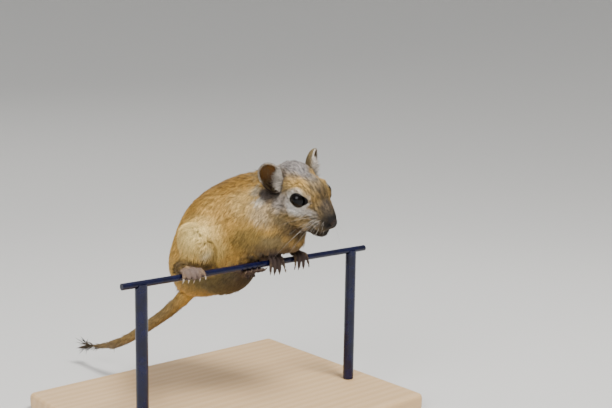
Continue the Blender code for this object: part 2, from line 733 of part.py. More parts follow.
def build_gerbil():
    bm = bmesh.new()
    add_trunk(bm)
    core = fuse(bm, "core", BODY_VOXEL, CORE_SMOOTHING)

    bm = core_masses(core)
    add_head(bm)
    for side in ("right", "left"):
        add_hind_leg(bm, side)
        add_foreleg(bm, side)
    add_tail_root(bm)
    body = fuse(bm, "body", BODY_VOXEL, BODY_SMOOTHING, BODY_TRIANGLES)

    bm = core_masses(core)
    add_head(bm)
    fine_head = fuse(bm, "fine_head", HEAD_VOXEL, HEAD_SMOOTHING, HEAD_TRIANGLES)
    bpy.data.objects.remove(core, do_unlink=True)

    place = regions()

    def region(name, grow=0.0):
        centre, half_sizes, axes = place[name]
        return box_object(name, centre, half_sizes, axes, grow)

    sides = {"right": -1, "left": 1}
    feet = build_feet()
    legs = ["foreleg_right", "foreleg_left", "hindleg_right", "hindleg_left"]

    head = carve(fine_head, "INTERSECT", [region("head")], "head")
    cutters = snout_cutters(head)
    for side in sides.values():
        head = carve(head, "UNION", [lid_roll(side)], "head")
        cutters.append(ball_at(in_head(EYE_AT, side), EYE_RADIUS + GAP))
        cutters.append(ear_shell(side, -GAP))
    nodes = {"head": carve(head, "DIFFERENCE", cutters, "head")}

    taken = ["head"]
    for name, place_name in [(leg, leg) for leg in legs] + [("neck", "front")]:
        piece = carve(copy_of(body, name), "INTERSECT", [region(place_name)], name)
        cutters = [region(other, GAP) for other in taken] + [wire_cutter(GAP)]
        cutters += [hull for item in feet.values() for hull in clearances(item)]
        nodes[name] = carve(piece, "DIFFERENCE", cutters, name)
        taken.append(place_name)
    cutters = [region(other, GAP) for other in taken] + [beyond_tail_root(), wire_cutter(GAP)]
    cutters += [hull for item in feet.values() for hull in clearances(item)]
    nodes["torso"] = carve(body, "DIFFERENCE", cutters, "torso")
    nodes.update(feet)
    nodes.update(build_tail())
    for name, side in sides.items():
        nodes["ear_" + name] = ear(side)
        nodes["eye_" + name] = eye(side)

    fur = material("golden_agouti_fur", FUR, 0.9)
    skin = material("pale_foot_skin", PALE_SKIN, 0.6)
    cornea = material("black_eye", EYE_BLACK, 0.1)
    for name, item in nodes.items():
        finish = skin if "foot" in name or "paw" in name or "ear" in name else fur
        finish_node(item, name, cornea if name.startswith("eye") else finish)


def build_stand():
    enamel = material("navy_enamel_wire", ENAMEL, 0.35, 0.0)
    wood = material("pale_wood_base", WOOD, 0.6)
    bm = bmesh.new()
    length = (WIRE_ENDS_X[1] - WIRE_ENDS_X[0]) * MM
    place = (Matrix.Translation(Vector((sum(WIRE_ENDS_X) / 2, 0, 0)) * MM)
             @ Matrix.Rotation(math.pi / 2, 4, "Y"))
    bmesh.ops.create_cone(bm, cap_ends=True, segments=20, radius1=WIRE_RADIUS * MM,
                          radius2=WIRE_RADIUS * MM, depth=length, matrix=place)
    finish_node(object_from(bm, "perch_wire", work), "perch_wire", enamel)
    for name, x in RODS_X.items():
        bm = bmesh.new()
        bottom, top = -WIRE_ABOVE_BASE + GAP, 0.0
        place = Matrix.Translation(Vector((x, 0, (bottom + top) / 2)) * MM)
        bmesh.ops.create_cone(bm, cap_ends=True, segments=24, radius1=ROD_RADIUS * MM,
                              radius2=ROD_RADIUS * MM, depth=(top - bottom) * MM, matrix=place)
        rod = carve(object_from(bm, name, work), "DIFFERENCE", [wire_cutter(GAP)], name)
        finish_node(rod, name, enamel)
    bm = bmesh.new()
    centre = Vector((sum(BASE_X) / 2, sum(BASE_Y) / 2, -WIRE_ABOVE_BASE - BASE_THICKNESS / 2))
    sizes = (BASE_X[1] - BASE_X[0], BASE_Y[1] - BASE_Y[0], BASE_THICKNESS)
    place = Matrix.Translation(centre * MM) @ Matrix.Diagonal((*[s * MM for s in sizes], 1.0))
    bmesh.ops.create_cube(bm, size=1.0, matrix=place)
    base = object_from(bm, "stand_base", work)
    rounding = base.modifiers.new("rounding", "BEVEL")
    rounding.width = EDGE_ROUND * MM
    rounding.segments = 3
    finish_node(base, "stand_base", wood)


def centre_on_floor():
    """Put the origin under the middle of the box round the whole, with the base on the floor."""
    corners = [item.matrix_world @ Vector(corner) for item in model.objects
               if item.type == "MESH" for corner in item.bound_box]
    low = [min(corner[i] for corner in corners) for i in range(3)]
    high = [max(corner[i] for corner in corners) for i in range(3)]
    perch_frame.location = (-(low[0] + high[0]) / 2, -(low[1] + high[1]) / 2, -low[2])


clear_scene()
model = new_collection("gerbil")
work = new_collection("cutters")
locks = new_collection("locks")
perch_frame = bpy.data.objects.new("perch_frame", None)
model.objects.link(perch_frame)
build_gerbil()
build_stand()
bpy.context.view_layer.update()
centre_on_floor()
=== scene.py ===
# %% [markdown]
# A gerbil on its wire
#
# This is the dressed model of a Mongolian gerbil that leans over a wire, life size, on a
# museum stand. The solids already give every form: trunk, head, legs, ears, tail and stand.
# What is missing is what the eye sees first, the coat, the wet eye, the whiskers and the
# finish of wire and wood. Everything below is placed from the solids and from a few named
# sizes in millimetres, so nothing has to be fitted afterwards.
# %% Load the frame
import math
import random

import bmesh
import bpy
import numpy as np
from mathutils import Matrix, Vector
from mathutils.bvhtree import BVHTree
from mathutils.kdtree import KDTree


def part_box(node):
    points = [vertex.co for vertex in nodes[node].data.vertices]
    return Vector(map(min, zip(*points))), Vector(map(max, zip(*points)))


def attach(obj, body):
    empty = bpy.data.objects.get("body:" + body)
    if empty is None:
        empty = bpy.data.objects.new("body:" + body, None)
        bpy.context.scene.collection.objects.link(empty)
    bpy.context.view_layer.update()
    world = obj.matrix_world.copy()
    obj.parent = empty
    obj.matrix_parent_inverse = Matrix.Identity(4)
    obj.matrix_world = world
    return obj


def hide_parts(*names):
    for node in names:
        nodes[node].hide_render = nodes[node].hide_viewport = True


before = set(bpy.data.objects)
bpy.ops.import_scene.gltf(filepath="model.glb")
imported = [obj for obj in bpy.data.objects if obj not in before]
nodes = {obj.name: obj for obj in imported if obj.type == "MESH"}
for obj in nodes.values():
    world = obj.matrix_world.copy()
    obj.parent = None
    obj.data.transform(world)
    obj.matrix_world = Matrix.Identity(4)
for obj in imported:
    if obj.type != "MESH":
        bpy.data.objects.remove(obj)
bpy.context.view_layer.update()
MM = 0.001

# %% [markdown]
# The animal was modelled round the wire, with X along the wire and zero where the wire's
# own middle is 31.5 mm away. A point in that perch frame is turned into the solids' frame
# by one shift, which is read from the wire itself. The head has a frame of its own:
# x to the nose, y to the side and z to the crown, so that left and right are one formula.
# %% Frames of perch and head
wire_low, wire_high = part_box("perch_wire")
WIRE_MIDDLE_X = 31.5
PERCH = (wire_low + wire_high) / 2 - Vector((WIRE_MIDDLE_X, 0.0, 0.0)) * MM
WIRE_RADIUS = (wire_high.z - wire_low.z) / 2 / MM
HEAD_AT = Vector((48.3, -5.8, 33.6))
HEAD_FORWARD = (0.048, -0.947, -0.319)
HEAD_LEFT = (0.984, -0.011, 0.180)
HEAD_SCALE = 0.966


def axes_from(forward, side):
    """Columns forward, left and up, made square to one another."""
    forward = Vector(forward).normalized()
    up = forward.cross(Vector(side)).normalized()
    return Matrix((forward, up.cross(forward).normalized(), up)).transposed()


HEAD_AXES = axes_from(HEAD_FORWARD, HEAD_LEFT)


def in_head(x, y, z, side=1):
    """A point of the head's own frame, in the perch frame, in mm."""
    return HEAD_AT + HEAD_AXES @ Vector((x, y * side, z)) * HEAD_SCALE


def head_way(x, y, z, side=1):
    return (HEAD_AXES @ Vector((x, y * side, z))).normalized()


def placed(point):
    """A point of the perch frame in the solids' frame, in metres."""
    return PERCH + Vector(point) * MM


print("wire radius", round(WIRE_RADIUS, 2), "mm, perch frame at", [round(v, 4) for v in PERCH])

# %% [markdown]
# Materials need three helpers. Colours are chosen as the sRGB values that a screen shows
# and turned to the linear values that a shader needs. One small function adds any shader
# node with its settings and links. One more makes a material round a Principled shader,
# whose constants are set straight on its sockets.
# %% Material helpers


def linear(hex_colour):
    """Linear red, green and blue of an sRGB hex colour."""
    parts = [int(hex_colour[i:i + 2], 16) / 255 for i in (1, 3, 5)]
    return [p / 12.92 if p <= 0.04045 else ((p + 0.055) / 1.055) ** 2.4 for p in parts]


def add(tree, kind, inputs=None, **settings):
    """A shader node with its settings, its values and its links."""
    node = tree.nodes.new(kind)
    for name, value in settings.items():
        setattr(node, name, value)
    for socket, value in (inputs or {}).items():
        if isinstance(value, bpy.types.NodeSocket):
            tree.links.new(value, node.inputs[socket])
        else:
            node.inputs[socket].default_value = value
    return node


def principled(name, **sockets):
    """A material with one Principled shader; underscores in a socket's name stand for spaces."""
    material = bpy.data.materials.new(name)
    material.use_nodes = True
    tree = material.node_tree
    shader = tree.nodes["Principled BSDF"]
    for socket, value in sockets.items():
        shader.inputs[socket.replace("_", " ")].default_value = value
    return material, tree, shader


def ramp_stops(node, stops):
    """Sets a colour ramp from (place, sRGB colour) pairs."""
    elements = node.color_ramp.elements
    while len(elements) < len(stops):
        elements.new(0.5)
    for element, (place, colour) in zip(elements, stops):
        element.position = place
        element.color = (*linear(colour), 1.0)


print("mid grey in linear light:", round(linear("#808080")[0], 3))

# %% [markdown]
# Meshes need four helpers. One shades a mesh smoothly, one turns a finished bmesh into such
# a mesh, and one shows the mesh as a piece that rides the model's only body. The fourth sorts
# a bmesh by place: the sphere and the cut list their faces in another order on each run, and
# hair strewn by that order would grow elsewhere each time.
# %% Mesh helpers


def in_order(bm):
    """The same points and faces, in the order of their places; the old bmesh is freed."""
    points = sorted(bm.verts, key=lambda v: tuple(v.co))
    number = {v: i for i, v in enumerate(points)}
    rings = [[number[v] for v in f.verts] for f in bm.faces]
    fresh = bmesh.new()
    verts = [fresh.verts.new(v.co) for v in points]
    for ring in sorted(r[r.index(min(r)):] + r[:r.index(min(r))] for r in rings):
        fresh.faces.new([verts[i] for i in ring])
    bm.free()
    return fresh


def shade_smooth(mesh):
    mesh.polygons.foreach_set("use_smooth", [True] * len(mesh.polygons))


def smooth_mesh(bm, name):
    """The smoothly shaded mesh of a finished bmesh, which is freed."""
    mesh = bpy.data.meshes.new(name)
    bm.to_mesh(mesh)
    bm.free()
    shade_smooth(mesh)
    return mesh


def show(name, mesh, material, body="root"):
    """A finished piece: an object at the origin with its place in its mesh."""
    piece = bpy.data.objects.new(name, mesh)
    bpy.context.scene.collection.objects.link(piece)
    mesh.materials.clear()
    mesh.materials.append(material)
    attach(piece, body)
    return piece


# %% [markdown]
# Markings first. A gerbil's golden agouti coat changes colour, length and ticking from place
# to place: silver crown, white ring round the eye, dark sides of the nose, cream haunch. Some
# zones also hold painted light and shade: the top of each haunch is painted paler, and the
# belly, chest, throat, chin and the legs and paws in the body's shadow are painted darker.
# Each such place is an oval zone with a soft, ragged edge, in the frame of the head or of the
# perch. One table of zones feeds the skin and every tuft of fur, so both always agree. A zone
# says only what it changes: "tick" is how strongly single hairs differ, "length" is that of
# the hair in mm, "depth" is how far the coat stands off the skin in mm, and "fill" is where
# creases between leg and flank are closed. "soft" is the blur of its edge, as a share of its
# radii. The frame of the trunk runs from rump to neck, so its zones lie along the back.
# %% Zones of the coat
BASE = {"colour": "#C2984C", "length": 4.4, "depth": 1.6, "tick": 0.6, "fill": 0.0}
LEVEL = Matrix.Identity(3)
TRUNK_AXES = axes_from((0.30, -0.80, 0.52), (0.80, 0.60, 0.0))
EDGE_WAVE, EDGE_RAGGED = 3.0, 0.10      # size in mm and strength of a zone's ragged edge
RIPPLE_PEAK = 1.6                       # summed waves rarely pass this times their usual size
zones = []


def zone(centre, radii, axes=LEVEL, soft=0.5, **changes):
    """A place on the coat: centre and radii in mm, with what changes there."""
    if "colour" in changes:
        changes["colour"] = linear(changes["colour"])
    zones.append((Vector(centre), radii, axes, soft, changes))


def two_zones(right, left, radii, **changes):
    """The same marking on the right and on the left of the body."""
    zone(right, radii, **changes)
    zone(left, radii, **changes)


def head_zone(x, y, z, radii, **changes):
    """A zone on the head, on both sides where it isn't on the middle line."""
    for side in ((1, -1) if y else (1,)):
        zone(in_head(x, y, z, side), [r * HEAD_SCALE for r in radii], HEAD_AXES, **changes)


# trunk, from the saddle down to the belly
zone((38, 24, 37), (24, 42, 15), TRUNK_AXES, colour="#A47B37", tick=0.8)
zone((44, 28, 38), (30, 18, 13.5), TRUNK_AXES, colour="#6C5028", tick=0.9)
two_zones((21, 15, 25), (52, 34, 22), (9, 8, 7), colour="#CBA055")
# cream fur on each haunch, made paler still on top as painted light
two_zones((10, 14, 15), (47, 36, 5), (9, 11, 8.5), colour="#F8D88A", soft=0.95, tick=0.25)
two_zones((12, 19, 13), (48, 33, 4), (20, 20, 20), fill=1.0)
zone((32, 24, -13), (20, 16, 9), fill=1.0)
two_zones((17, 9.5, 9), (52, 26, 6), (8, 8, 5), colour="#BA9A57")
two_zones((11, 7.5, 7.5), (50, 24, 2), (1.6, 2.4, 2.2), colour="#E4D0A2", soft=0.9)
# underside: painted shade, olive and dark as under the body; the belly's own fur is paler
zone((30, 14, -8), (26, 26, 9), colour="#6C613F", tick=0.4, length=3.2, depth=1.2)
# painted shadow low on each flank, just above the hind feet
two_zones((8, 9, 2), (43, 26, -6), (9, 8, 2.8), colour="#3A2B14", length=2.6)
two_zones((30, 1, 13), (60, 8, 15), (8, 8, 6), colour="#93783D")
# painted shade under the chest, darkest where it meets the wire
zone((45, -3, 7), (16, 11, 6), colour="#675338", length=3.6, depth=1.1)
zone((42, 1, 3.4), (10, 7, 2.8), colour="#453A2C", length=2.4)
two_zones((31, 4, 27), (60, 10, 28), (7, 8, 6), colour="#BE9C5C", tick=0.8)
# tail: short close hair, then the brush
zone((28, 47, -21), (9, 9, 9), length=3.0, depth=0.7)
zone((20, 66, -38), (14, 24, 24), length=2.2, depth=0.4, colour="#937A4C")
zone((13, 96, -54), (9, 20, 10), length=3.6, depth=0.6, colour="#7E6742")
zone((11.5, 114, -59), (9, 12, 8), length=7.0, depth=1.1, colour="#4A3D2C")
# legs and feet: short hair on the lower leg, nearly bare toes
zone((4, 15, 0), (8, 11, 5), colour="#6E5730", length=2.4, depth=0.6)
zone((-2, -0.5, -0.5), (9, 5.0, 6), colour="#7C685E", length=0.6, depth=-0.08, tick=0.6)
# painted shade on the far hind leg, in the body's shadow below the wire
zone((34, 16, -8), (11, 15, 8), colour="#55452F", length=1.6, depth=0.5)
zone((39, -3.5, 12), (6, 5, 3.5), colour="#86734B")
# far hind foot: painted shade, darker than the near one
zone((31, 1.5, -3), (9, 7, 6), colour="#4C3A32", length=0.6, depth=-0.05)
# elbows and forepaws: painted shade under the chest
for elbow, wrist in (((37, 8, 5), (41.6, 0, -1)), ((58, 8, 6), (55.5, 0, -1))):
    zone(elbow, (7, 7, 5), colour="#5A4B38", length=2.4, depth=0.6, fill=0.6)
    zone(wrist, (6.0, 6.5, 7.5), colour="#4A3B35", length=0.6, depth=-0.10, tick=0.4)
# painted shade in the hollow between the forearms
zone((48.2, 3, 4.5), (5, 4, 3.5), colour="#4A3C2E", length=1.6, depth=0.8)
# head, from the neck to the nose
head_zone(6, 0, -2, (26, 15, 18), length=2.4, depth=0.9, colour="#927B52", soft=0.25, tick=1.0)
head_zone(1, 0, 10.5, (14, 7.5, 4.6), colour="#857E79", tick=1.2)
head_zone(10, 6.3, 7.4, (7, 3.6, 3.4), colour="#B28F50", tick=1.3)
head_zone(-0.8, 6.4, 7.6, (2.6, 2.6, 2.6), colour="#675C51", tick=1.0)
head_zone(20, 0, 3, (9, 4.5, 6), colour="#5C4B30", soft=0.4, length=1.4, depth=0.4, tick=1.4)
head_zone(23.5, 0, 0.5, (3.6, 4.4, 3), colour="#43372A", length=1.0, depth=0.3, tick=1.2)
head_zone(17, 5, 2.5, (5, 3, 4), colour="#876D40", length=1.3, depth=0.4, tick=1.3)
head_zone(-3.8, 15, -4.2, (2.2, 3.5, 2.0), colour="#EDEAE0", tick=0.5)
head_zone(-8.0, 14, -1.0, (2.0, 3.5, 1.9), colour="#CDB995", tick=0.8)
head_zone(0, 15, -8, (6, 6, 5), colour="#BBA27A", tick=0.9)
head_zone(7, 9.5, -9.5, (8, 6, 4.5), colour="#86724D")
# painted shade under the jaw; the throat's own fur is paler
head_zone(10, 0, -15.5, (13, 10, 4.5), colour="#4E3D27", length=1.8)
head_zone(22, 0, -8, (8, 7, 8), colour="#5D4F3A", soft=0.4, length=1.0, depth=0.28, tick=1.2)
head_zone(11.2, 9, -0.8, (6.3, 5, 5.4), colour="#CBC6BD", soft=0.3, length=1.1, depth=0.3, tick=0.6)
head_zone(17, 6.5, -3.6, (4, 3, 2), colour="#B3ACA4", tick=0.8)
head_zone(3.5, 10, -2.5, (4, 4, 4.5), colour="#9A9086", length=1.8, tick=0.9)
head_zone(-3.2, 11.8, -1.4, (4.4, 4.5, 2.7), colour="#4A4039", length=2.4, tick=0.9)
head_zone(20, 4.5, -6.4, (3.0, 2.6, 2.2), colour="#7D7365", tick=1.3)
head_zone(26, 0, -5.4, (4.2, 4.6, 4.8), colour="#1E1A17", length=0.7, depth=0.15, tick=0.6)
# painted shade and whisker shadows on the chin
head_zone(21, 0, -13.2, (7, 6, 3.2), colour="#2C231A", length=0.9, tick=0.9)
head_zone(27.6, 0, -5.4, (1.9, 2.2, 1.9), colour="#211B1A", soft=0.2, length=0.3, depth=0.02)


def ripple(points, size, seed, waves=14):
    """Soft noise from -1 to 1 at points in mm, with features of about that size."""
    draw = np.random.default_rng(seed)
    ways = draw.normal(size=(waves, 3))
    ways *= (2 * math.pi / size) / np.linalg.norm(ways, axis=1)[:, None]
    phases = draw.uniform(0, 2 * math.pi, waves)
    return np.sin(points @ ways.T + phases).sum(1) / math.sqrt(waves / 2) / RIPPLE_PEAK


def smooth(share):
    """Eases a share from 0 to 1 with no kink at either end."""
    share = np.clip(share, 0, 1)
    return share * share * (3 - 2 * share)


def coat_at(points):
    """Colour, hair length, coat depth and ticking at points of the perch frame, in mm."""
    coat = {key: np.full((len(points), 1), value) for key, value in BASE.items() if key != "colour"}
    coat["colour"] = np.tile(linear(BASE["colour"]), (len(points), 1))
    ragged = ripple(points, EDGE_WAVE, seed=7) * EDGE_RAGGED
    for centre, radii, axes, soft, changes in zones:
        local = (points - np.array(centre)) @ np.array(axes) / np.array(radii)
        far = np.linalg.norm(local, axis=1) + ragged
        share = smooth((1 + soft - far) / (2 * soft))[:, None]
        for key, value in changes.items():
            coat[key] += (np.array(value) - coat[key]) * share
    return {key: value if key == "colour" else value[:, 0] for key, value in coat.items()}


print(len(zones), "zones of colour, length and depth")

# %% [markdown]
# The skin. On the animal it is one piece from nose to tail tip, with the fur rooted in it.
# It could be modelled again from nothing, but the solids already have the true outer form,
# parted by thin gaps. So their meshes are copied, swelled just enough to close the gaps,
# and wrapped by a voxel remesh into one closed surface. Two short tubes fill the hollows in
# front of the belly and between the forearms, and a long one gives the end of the tail a
# core for its brush. The left hind foot is moved 1 mm aside, or it would fuse with the
# forepaw beside it.
# %% Flesh to wrap
FLESH = ["head", "neck", "torso", "foreleg_right", "foreleg_left", "hindleg_right",
         "hindleg_left", "forepaw_right", "forepaw_left", "hindfoot_right", "hindfoot_left",
         "tail_base", "tail_mid"]
SWELL = 0.22                            # closes the cuts between the solids
SKIN_VOXEL = 0.52
TAIL_END = [(16.2, 76, -46, 2.3), (13.4, 93, -54.3, 2.0), (12, 105, -57.7, 1.7),
            (11.2, 117, -59.9, 0.8)]
PITS = [[(34, 15, -7, 4.0), (28.5, 8.5, -5, 2.4)], [(44, 3, 4.8, 2.4), (52.5, 3, 4.8, 2.4)]]
TUBE_SIDES = 14
def to_object(bm, name):
    mesh = bpy.data.meshes.new(name)
    bm.to_mesh(mesh)
    bm.free()
    item = bpy.data.objects.new(name, mesh)
    bpy.context.scene.collection.objects.link(item)
    return item


def baked(item, name):
    """The mesh that an object's modifiers make; the object itself is removed."""
    graph = bpy.context.evaluated_depsgraph_get()
    graph.update()
    mesh = bpy.data.meshes.new_from_object(item.evaluated_get(graph))
    mesh.name = name
    bpy.data.objects.remove(item, do_unlink=True)
    return mesh


def add_tube(bm, points, segments=8):
    """A tapered tube through (x, y, z, radius) in the perch frame, made of bridged circles."""
    loops = []
    for number, (x, y, z, radius) in enumerate(points):
        before = Vector(points[max(number - 1, 0)][:3])
        after = Vector(points[min(number + 1, len(points) - 1)][:3])
        turn = (after - before).to_track_quat("Z", "Y").to_matrix().to_4x4()
        place = Matrix.Translation(placed((x, y, z))) @ turn
        ring = bmesh.ops.create_circle(bm, segments=segments, radius=radius * MM, matrix=place,
                                       cap_ends=number in (0, len(points) - 1))["verts"]
        loops.append([e for e in {e for v in ring for e in v.link_edges}])
    for first, second in zip(loops, loops[1:]):
        bmesh.ops.bridge_loops(bm, edges=first + second)


print("flesh:", len(FLESH), "solids and", len(PITS) + 1, "tubes")

# %% [markdown]
# Two helpers turn a mesh into arrays and move points between metres and the perch frame,
# so that every later step can treat all points of the skin at once.
# %% Meshes as arrays


def mesh_arrays(mesh):
    """Points in metres, unit normals and triangles of a mesh."""
    points = np.empty(len(mesh.vertices) * 3, np.float32)
    mesh.vertices.foreach_get("co", points)
    ups = np.empty(len(mesh.vertices) * 3, np.float32)
    mesh.vertices.foreach_get("normal", ups)
    mesh.calc_loop_triangles()
    corners = np.empty(len(mesh.loop_triangles) * 3, np.int32)
    mesh.loop_triangles.foreach_get("vertices", corners)
    return points.reshape(-1, 3), ups.reshape(-1, 3), corners.reshape(-1, 3)


def to_perch(points):
    """Points in metres as points of the perch frame in mm."""
    return (points - np.array(PERCH)) / MM


def from_perch(points):
    return points * MM + np.array(PERCH)


wire_points = to_perch(mesh_arrays(nodes["perch_wire"].data)[0])
print("wire from x", [round(float(x), 1) for x in (wire_points[:, 0].min(), wire_points[:, 0].max())])

# %% [markdown]
# Toes. The solids' toes bend round the wire, each on a short arc that starts and stops at a
# known angle, and hang on a little past it. From those few sizes come the toe tips, where the
# claws are pressed away before the wrap and set again later, and the lines between the toes,
# where the skin gets its narrow gaps.
# %% Toes and claws
# ball of the foot, number of toes, their spread and radius, claw length, and the angles in
# degrees where the toes start and stop on the wire, with the length that hangs past it
FEET = {
    "hindfoot_right": ((-2.0, 3.8, 2.6), 5, 8.2, 0.92, 1.7, (62, 184, 0.6)),
    "hindfoot_left": ((31.0, 4.4, -3.8), 5, 8.2, 0.92, 1.7, (-40, -125, 0.4)),
    "forepaw_right": ((41.6, 3.0, 3.4), 4, 5.8, 0.8, 1.6, (62, 186, 4.0)),
    "forepaw_left": ((55.5, 3.0, 3.4), 4, 5.8, 0.8, 1.6, (62, 188, 3.4)),
}
FOOT_ASIDE = {"hindfoot_left": -1.0}
GAP = 0.3                               # between the toes and the wire
OUTER_TOE_SHORTER, TOE_FAN = 0.22, 0.25
TOE_LEAN = 0.2                          # share of its fan by which a toe tip points aside
TOE_GAP_DEEP, TOE_GAP_WIDE = 1.0, 0.42
TOE_GAP_STARTS = 0.15                   # share of the toe's arc
TOE_GAP_STEPS = 6
CLAW_FROM, CLAW_ROUND = 0.8, 1.6        # in toe radii: where a claw begins, and how wide


def toe_ends(foot):
    """Tip, onward way, radius and claw length of each toe, as the solids were made."""
    ball, toes, spread, radius, claw, (start, stop, hang) = FEET[foot]
    for toe in range(toes):
        place = toe / (toes - 1) - 0.5
        shorter = 1 - OUTER_TOE_SHORTER * abs(place)
        angle = math.radians(start + (stop - start) * shorter)
        reach, lean = WIRE_RADIUS + GAP + radius, spread * place * TOE_FAN
        turn = math.copysign(1.0, stop - start)
        onward = Vector((lean * TOE_LEAN, -turn * math.sin(angle), turn * math.cos(angle)))
        onward.normalize()
        tip = Vector((ball[0] + spread * place + lean, reach * math.cos(angle),
                      reach * math.sin(angle)))
        yield tip + onward * hang * shorter, onward, radius, claw


def toe_gaps(foot):
    """Lines on the outer side of a foot, between each toe and its neighbour."""
    ball, toes, spread, radius, _, (start, stop, hang) = FEET[foot]
    middle = ball[0] + FOOT_ASIDE.get(foot, 0)
    out = WIRE_RADIUS + GAP + 2 * radius
    for gap in range(toes - 1):
        place = (gap + 0.5) / (toes - 1) - 0.5
        line = []
        for step in range(TOE_GAP_STEPS + 1):
            share = TOE_GAP_STARTS + (1 - TOE_GAP_STARTS) * step / TOE_GAP_STEPS
            angle = math.radians(start + (stop - start) * share)
            lean = spread * place * TOE_FAN * step / TOE_GAP_STEPS
            line.append((middle + spread * place + lean, out * math.cos(angle),
                         out * math.sin(angle)))
        x, y, z = line[-1]
        yield line + [(x, y, z + (-1 if start > 0 else 1) * (hang + radius))]


def without_claws(verts, foot):
    """Presses the claws of a copied foot back into its toe tips."""
    for tip, onward, radius, _ in toe_ends(foot):
        for vert in verts:
            away = (vert.co - placed(tip)) / MM
            ahead = away.dot(onward)
            if ahead > radius * CLAW_FROM and (away - onward * ahead).length < radius * CLAW_ROUND:
                vert.co -= onward * (ahead - radius * CLAW_FROM) * MM


for name in FEET:
    print(name, "has toe tips at", [[round(v, 1) for v in end[0]] for end in toe_ends(name)])

# %% [markdown]
# The wrap is smoothed twice: a little all over, against the steps of the voxels, and much
# where the coat is deep, because fur hides the muscles under it. Creases where a leg meets
# the flank are raised to a set height, so that the haunch flows into the side as on the
# living animal. Round the eyes and on the snout the faces are split for the folds to come.
# %% Wrap and smoothing
MERGE = 0.002
FILL_TURNS, FILL_MOST, FILL_PACE = 320, 1.8, 0.6
EASED_ALL_OVER, EASED_DEEP = 4, 45      # rounds of smoothing
LEAST_EASED, EASED_OVER = 0.3, 0.3      # share at bare skin, and coat depth over which it grows
DEEP_FROM, DEEP_OVER = 0.9, 0.5         # coat depth in mm where the deep smoothing sets in
EYE_RADIUS = 3.4
EYE_AT = (10.9, 7.4, 0.9)
EYE_REACH = 5.6
SNOUT_AT, SNOUT_REACH = (24.0, 0.0, -8.0), 6.5


def wrapped_flesh():
    """The flesh and eyeballs of the solids in one closed surface."""
    bm = bmesh.new()
    for name in FLESH + ["eye_right", "eye_left"]:
        known = len(bm.verts)
        bm.from_mesh(nodes[name].data)
        bm.verts.ensure_lookup_table()
        if name in FEET:
            without_claws(bm.verts[known:], name)
            shift = Vector((FOOT_ASIDE.get(name, 0) * MM, 0, 0))
            bmesh.ops.translate(bm, verts=bm.verts[known:], vec=shift)
    bmesh.ops.remove_doubles(bm, verts=bm.verts, dist=MERGE * MM)
    bm.normal_update()
    for vert in bm.verts:
        vert.co += vert.normal * SWELL * MM
    for run in (TAIL_END, *PITS):
        add_tube(bm, run, TUBE_SIDES)
    bmesh.ops.recalc_face_normals(bm, faces=bm.faces)
    item = to_object(bm, "wrap")
    wrap = item.modifiers.new("wrap", "REMESH")
    wrap.mode = "VOXEL"
    wrap.voxel_size = SKIN_VOXEL * MM
    return baked(item, "wrap")


def fill_creases(mesh):
    """Raises the valleys where a leg meets the flank, and leaves all ridges as they are."""
    points, ups, _ = mesh_arrays(mesh)
    share = coat_at(to_perch(points))["fill"]
    edges = np.empty(len(mesh.edges) * 2, np.int32)
    mesh.edges.foreach_get("vertices", edges)
    edges = edges.reshape(-1, 2)
    edges = edges[(share[edges] > 0.01).any(1)]
    ends = np.concatenate((edges, edges[:, ::-1]))
    count = np.maximum(np.bincount(ends[:, 0], minlength=len(points)), 1)
    eased = points.astype(float)
    for _ in range(FILL_TURNS):
        sums = [np.bincount(ends[:, 0], eased[ends[:, 1], i], len(points)) for i in range(3)]
        mean = np.stack(sums, 1) / count[:, None]
        eased += (mean - eased) * (FILL_PACE * share)[:, None]
    rise = np.clip(((eased - points) * ups).sum(1), 0, FILL_MOST * MM)
    points = points + ups * rise[:, None]
    mesh.vertices.foreach_set("co", points.astype(np.float32).ravel())
    mesh.update()


def relaxed(mesh):
    """Smooths the surface: much where the coat is deep, hardly on face, toes and tail."""
    fill_creases(mesh)
    points = mesh_arrays(mesh)[0]
    coat = coat_at(to_perch(points))
    depth, fill = coat["depth"], coat["fill"]
    item = bpy.data.objects.new("relaxed", mesh)
    bpy.context.scene.collection.objects.link(item)
    all_over = np.clip(LEAST_EASED + depth / EASED_OVER, LEAST_EASED, 1)
    deep_coat = np.maximum(smooth((depth - DEEP_FROM) / DEEP_OVER), fill)
    rounds = (("all_over", all_over, EASED_ALL_OVER), ("deep_coat", deep_coat, EASED_DEEP))
    for name, share, turns in rounds:
        group = item.vertex_groups.new(name=name)
        for number in np.flatnonzero(share > 0.02):
            group.add([int(number)], float(share[number]), "REPLACE")
        ease = item.modifiers.new(name, "SMOOTH")
        ease.factor = 0.5
        ease.iterations = turns
        ease.vertex_group = name
    return baked(item, "skin")


def refine_face(mesh):
    """Splits the faces round the eyes and on the snout, where the skin has its folds."""
    bm = bmesh.new()
    bm.from_mesh(mesh)
    snout = placed(in_head(*SNOUT_AT))
    eyes = [placed(in_head(*EYE_AT, side)) for side in (1, -1)]
    near = [f for f in bm.faces if (f.calc_center_median() - snout).length < SNOUT_REACH * MM
            or min((f.calc_center_median() - e).length for e in eyes) < EYE_REACH * MM]
    edges = list({e for f in near for e in f.edges})
    bmesh.ops.subdivide_edges(bm, edges=edges, cuts=2, use_grid_fill=True, smooth=0.6)
    bm.to_mesh(mesh)
    bm.free()


skin_mesh = relaxed(wrapped_flesh())
refine_face(skin_mesh)
print("wrap:", len(skin_mesh.polygons), "faces")

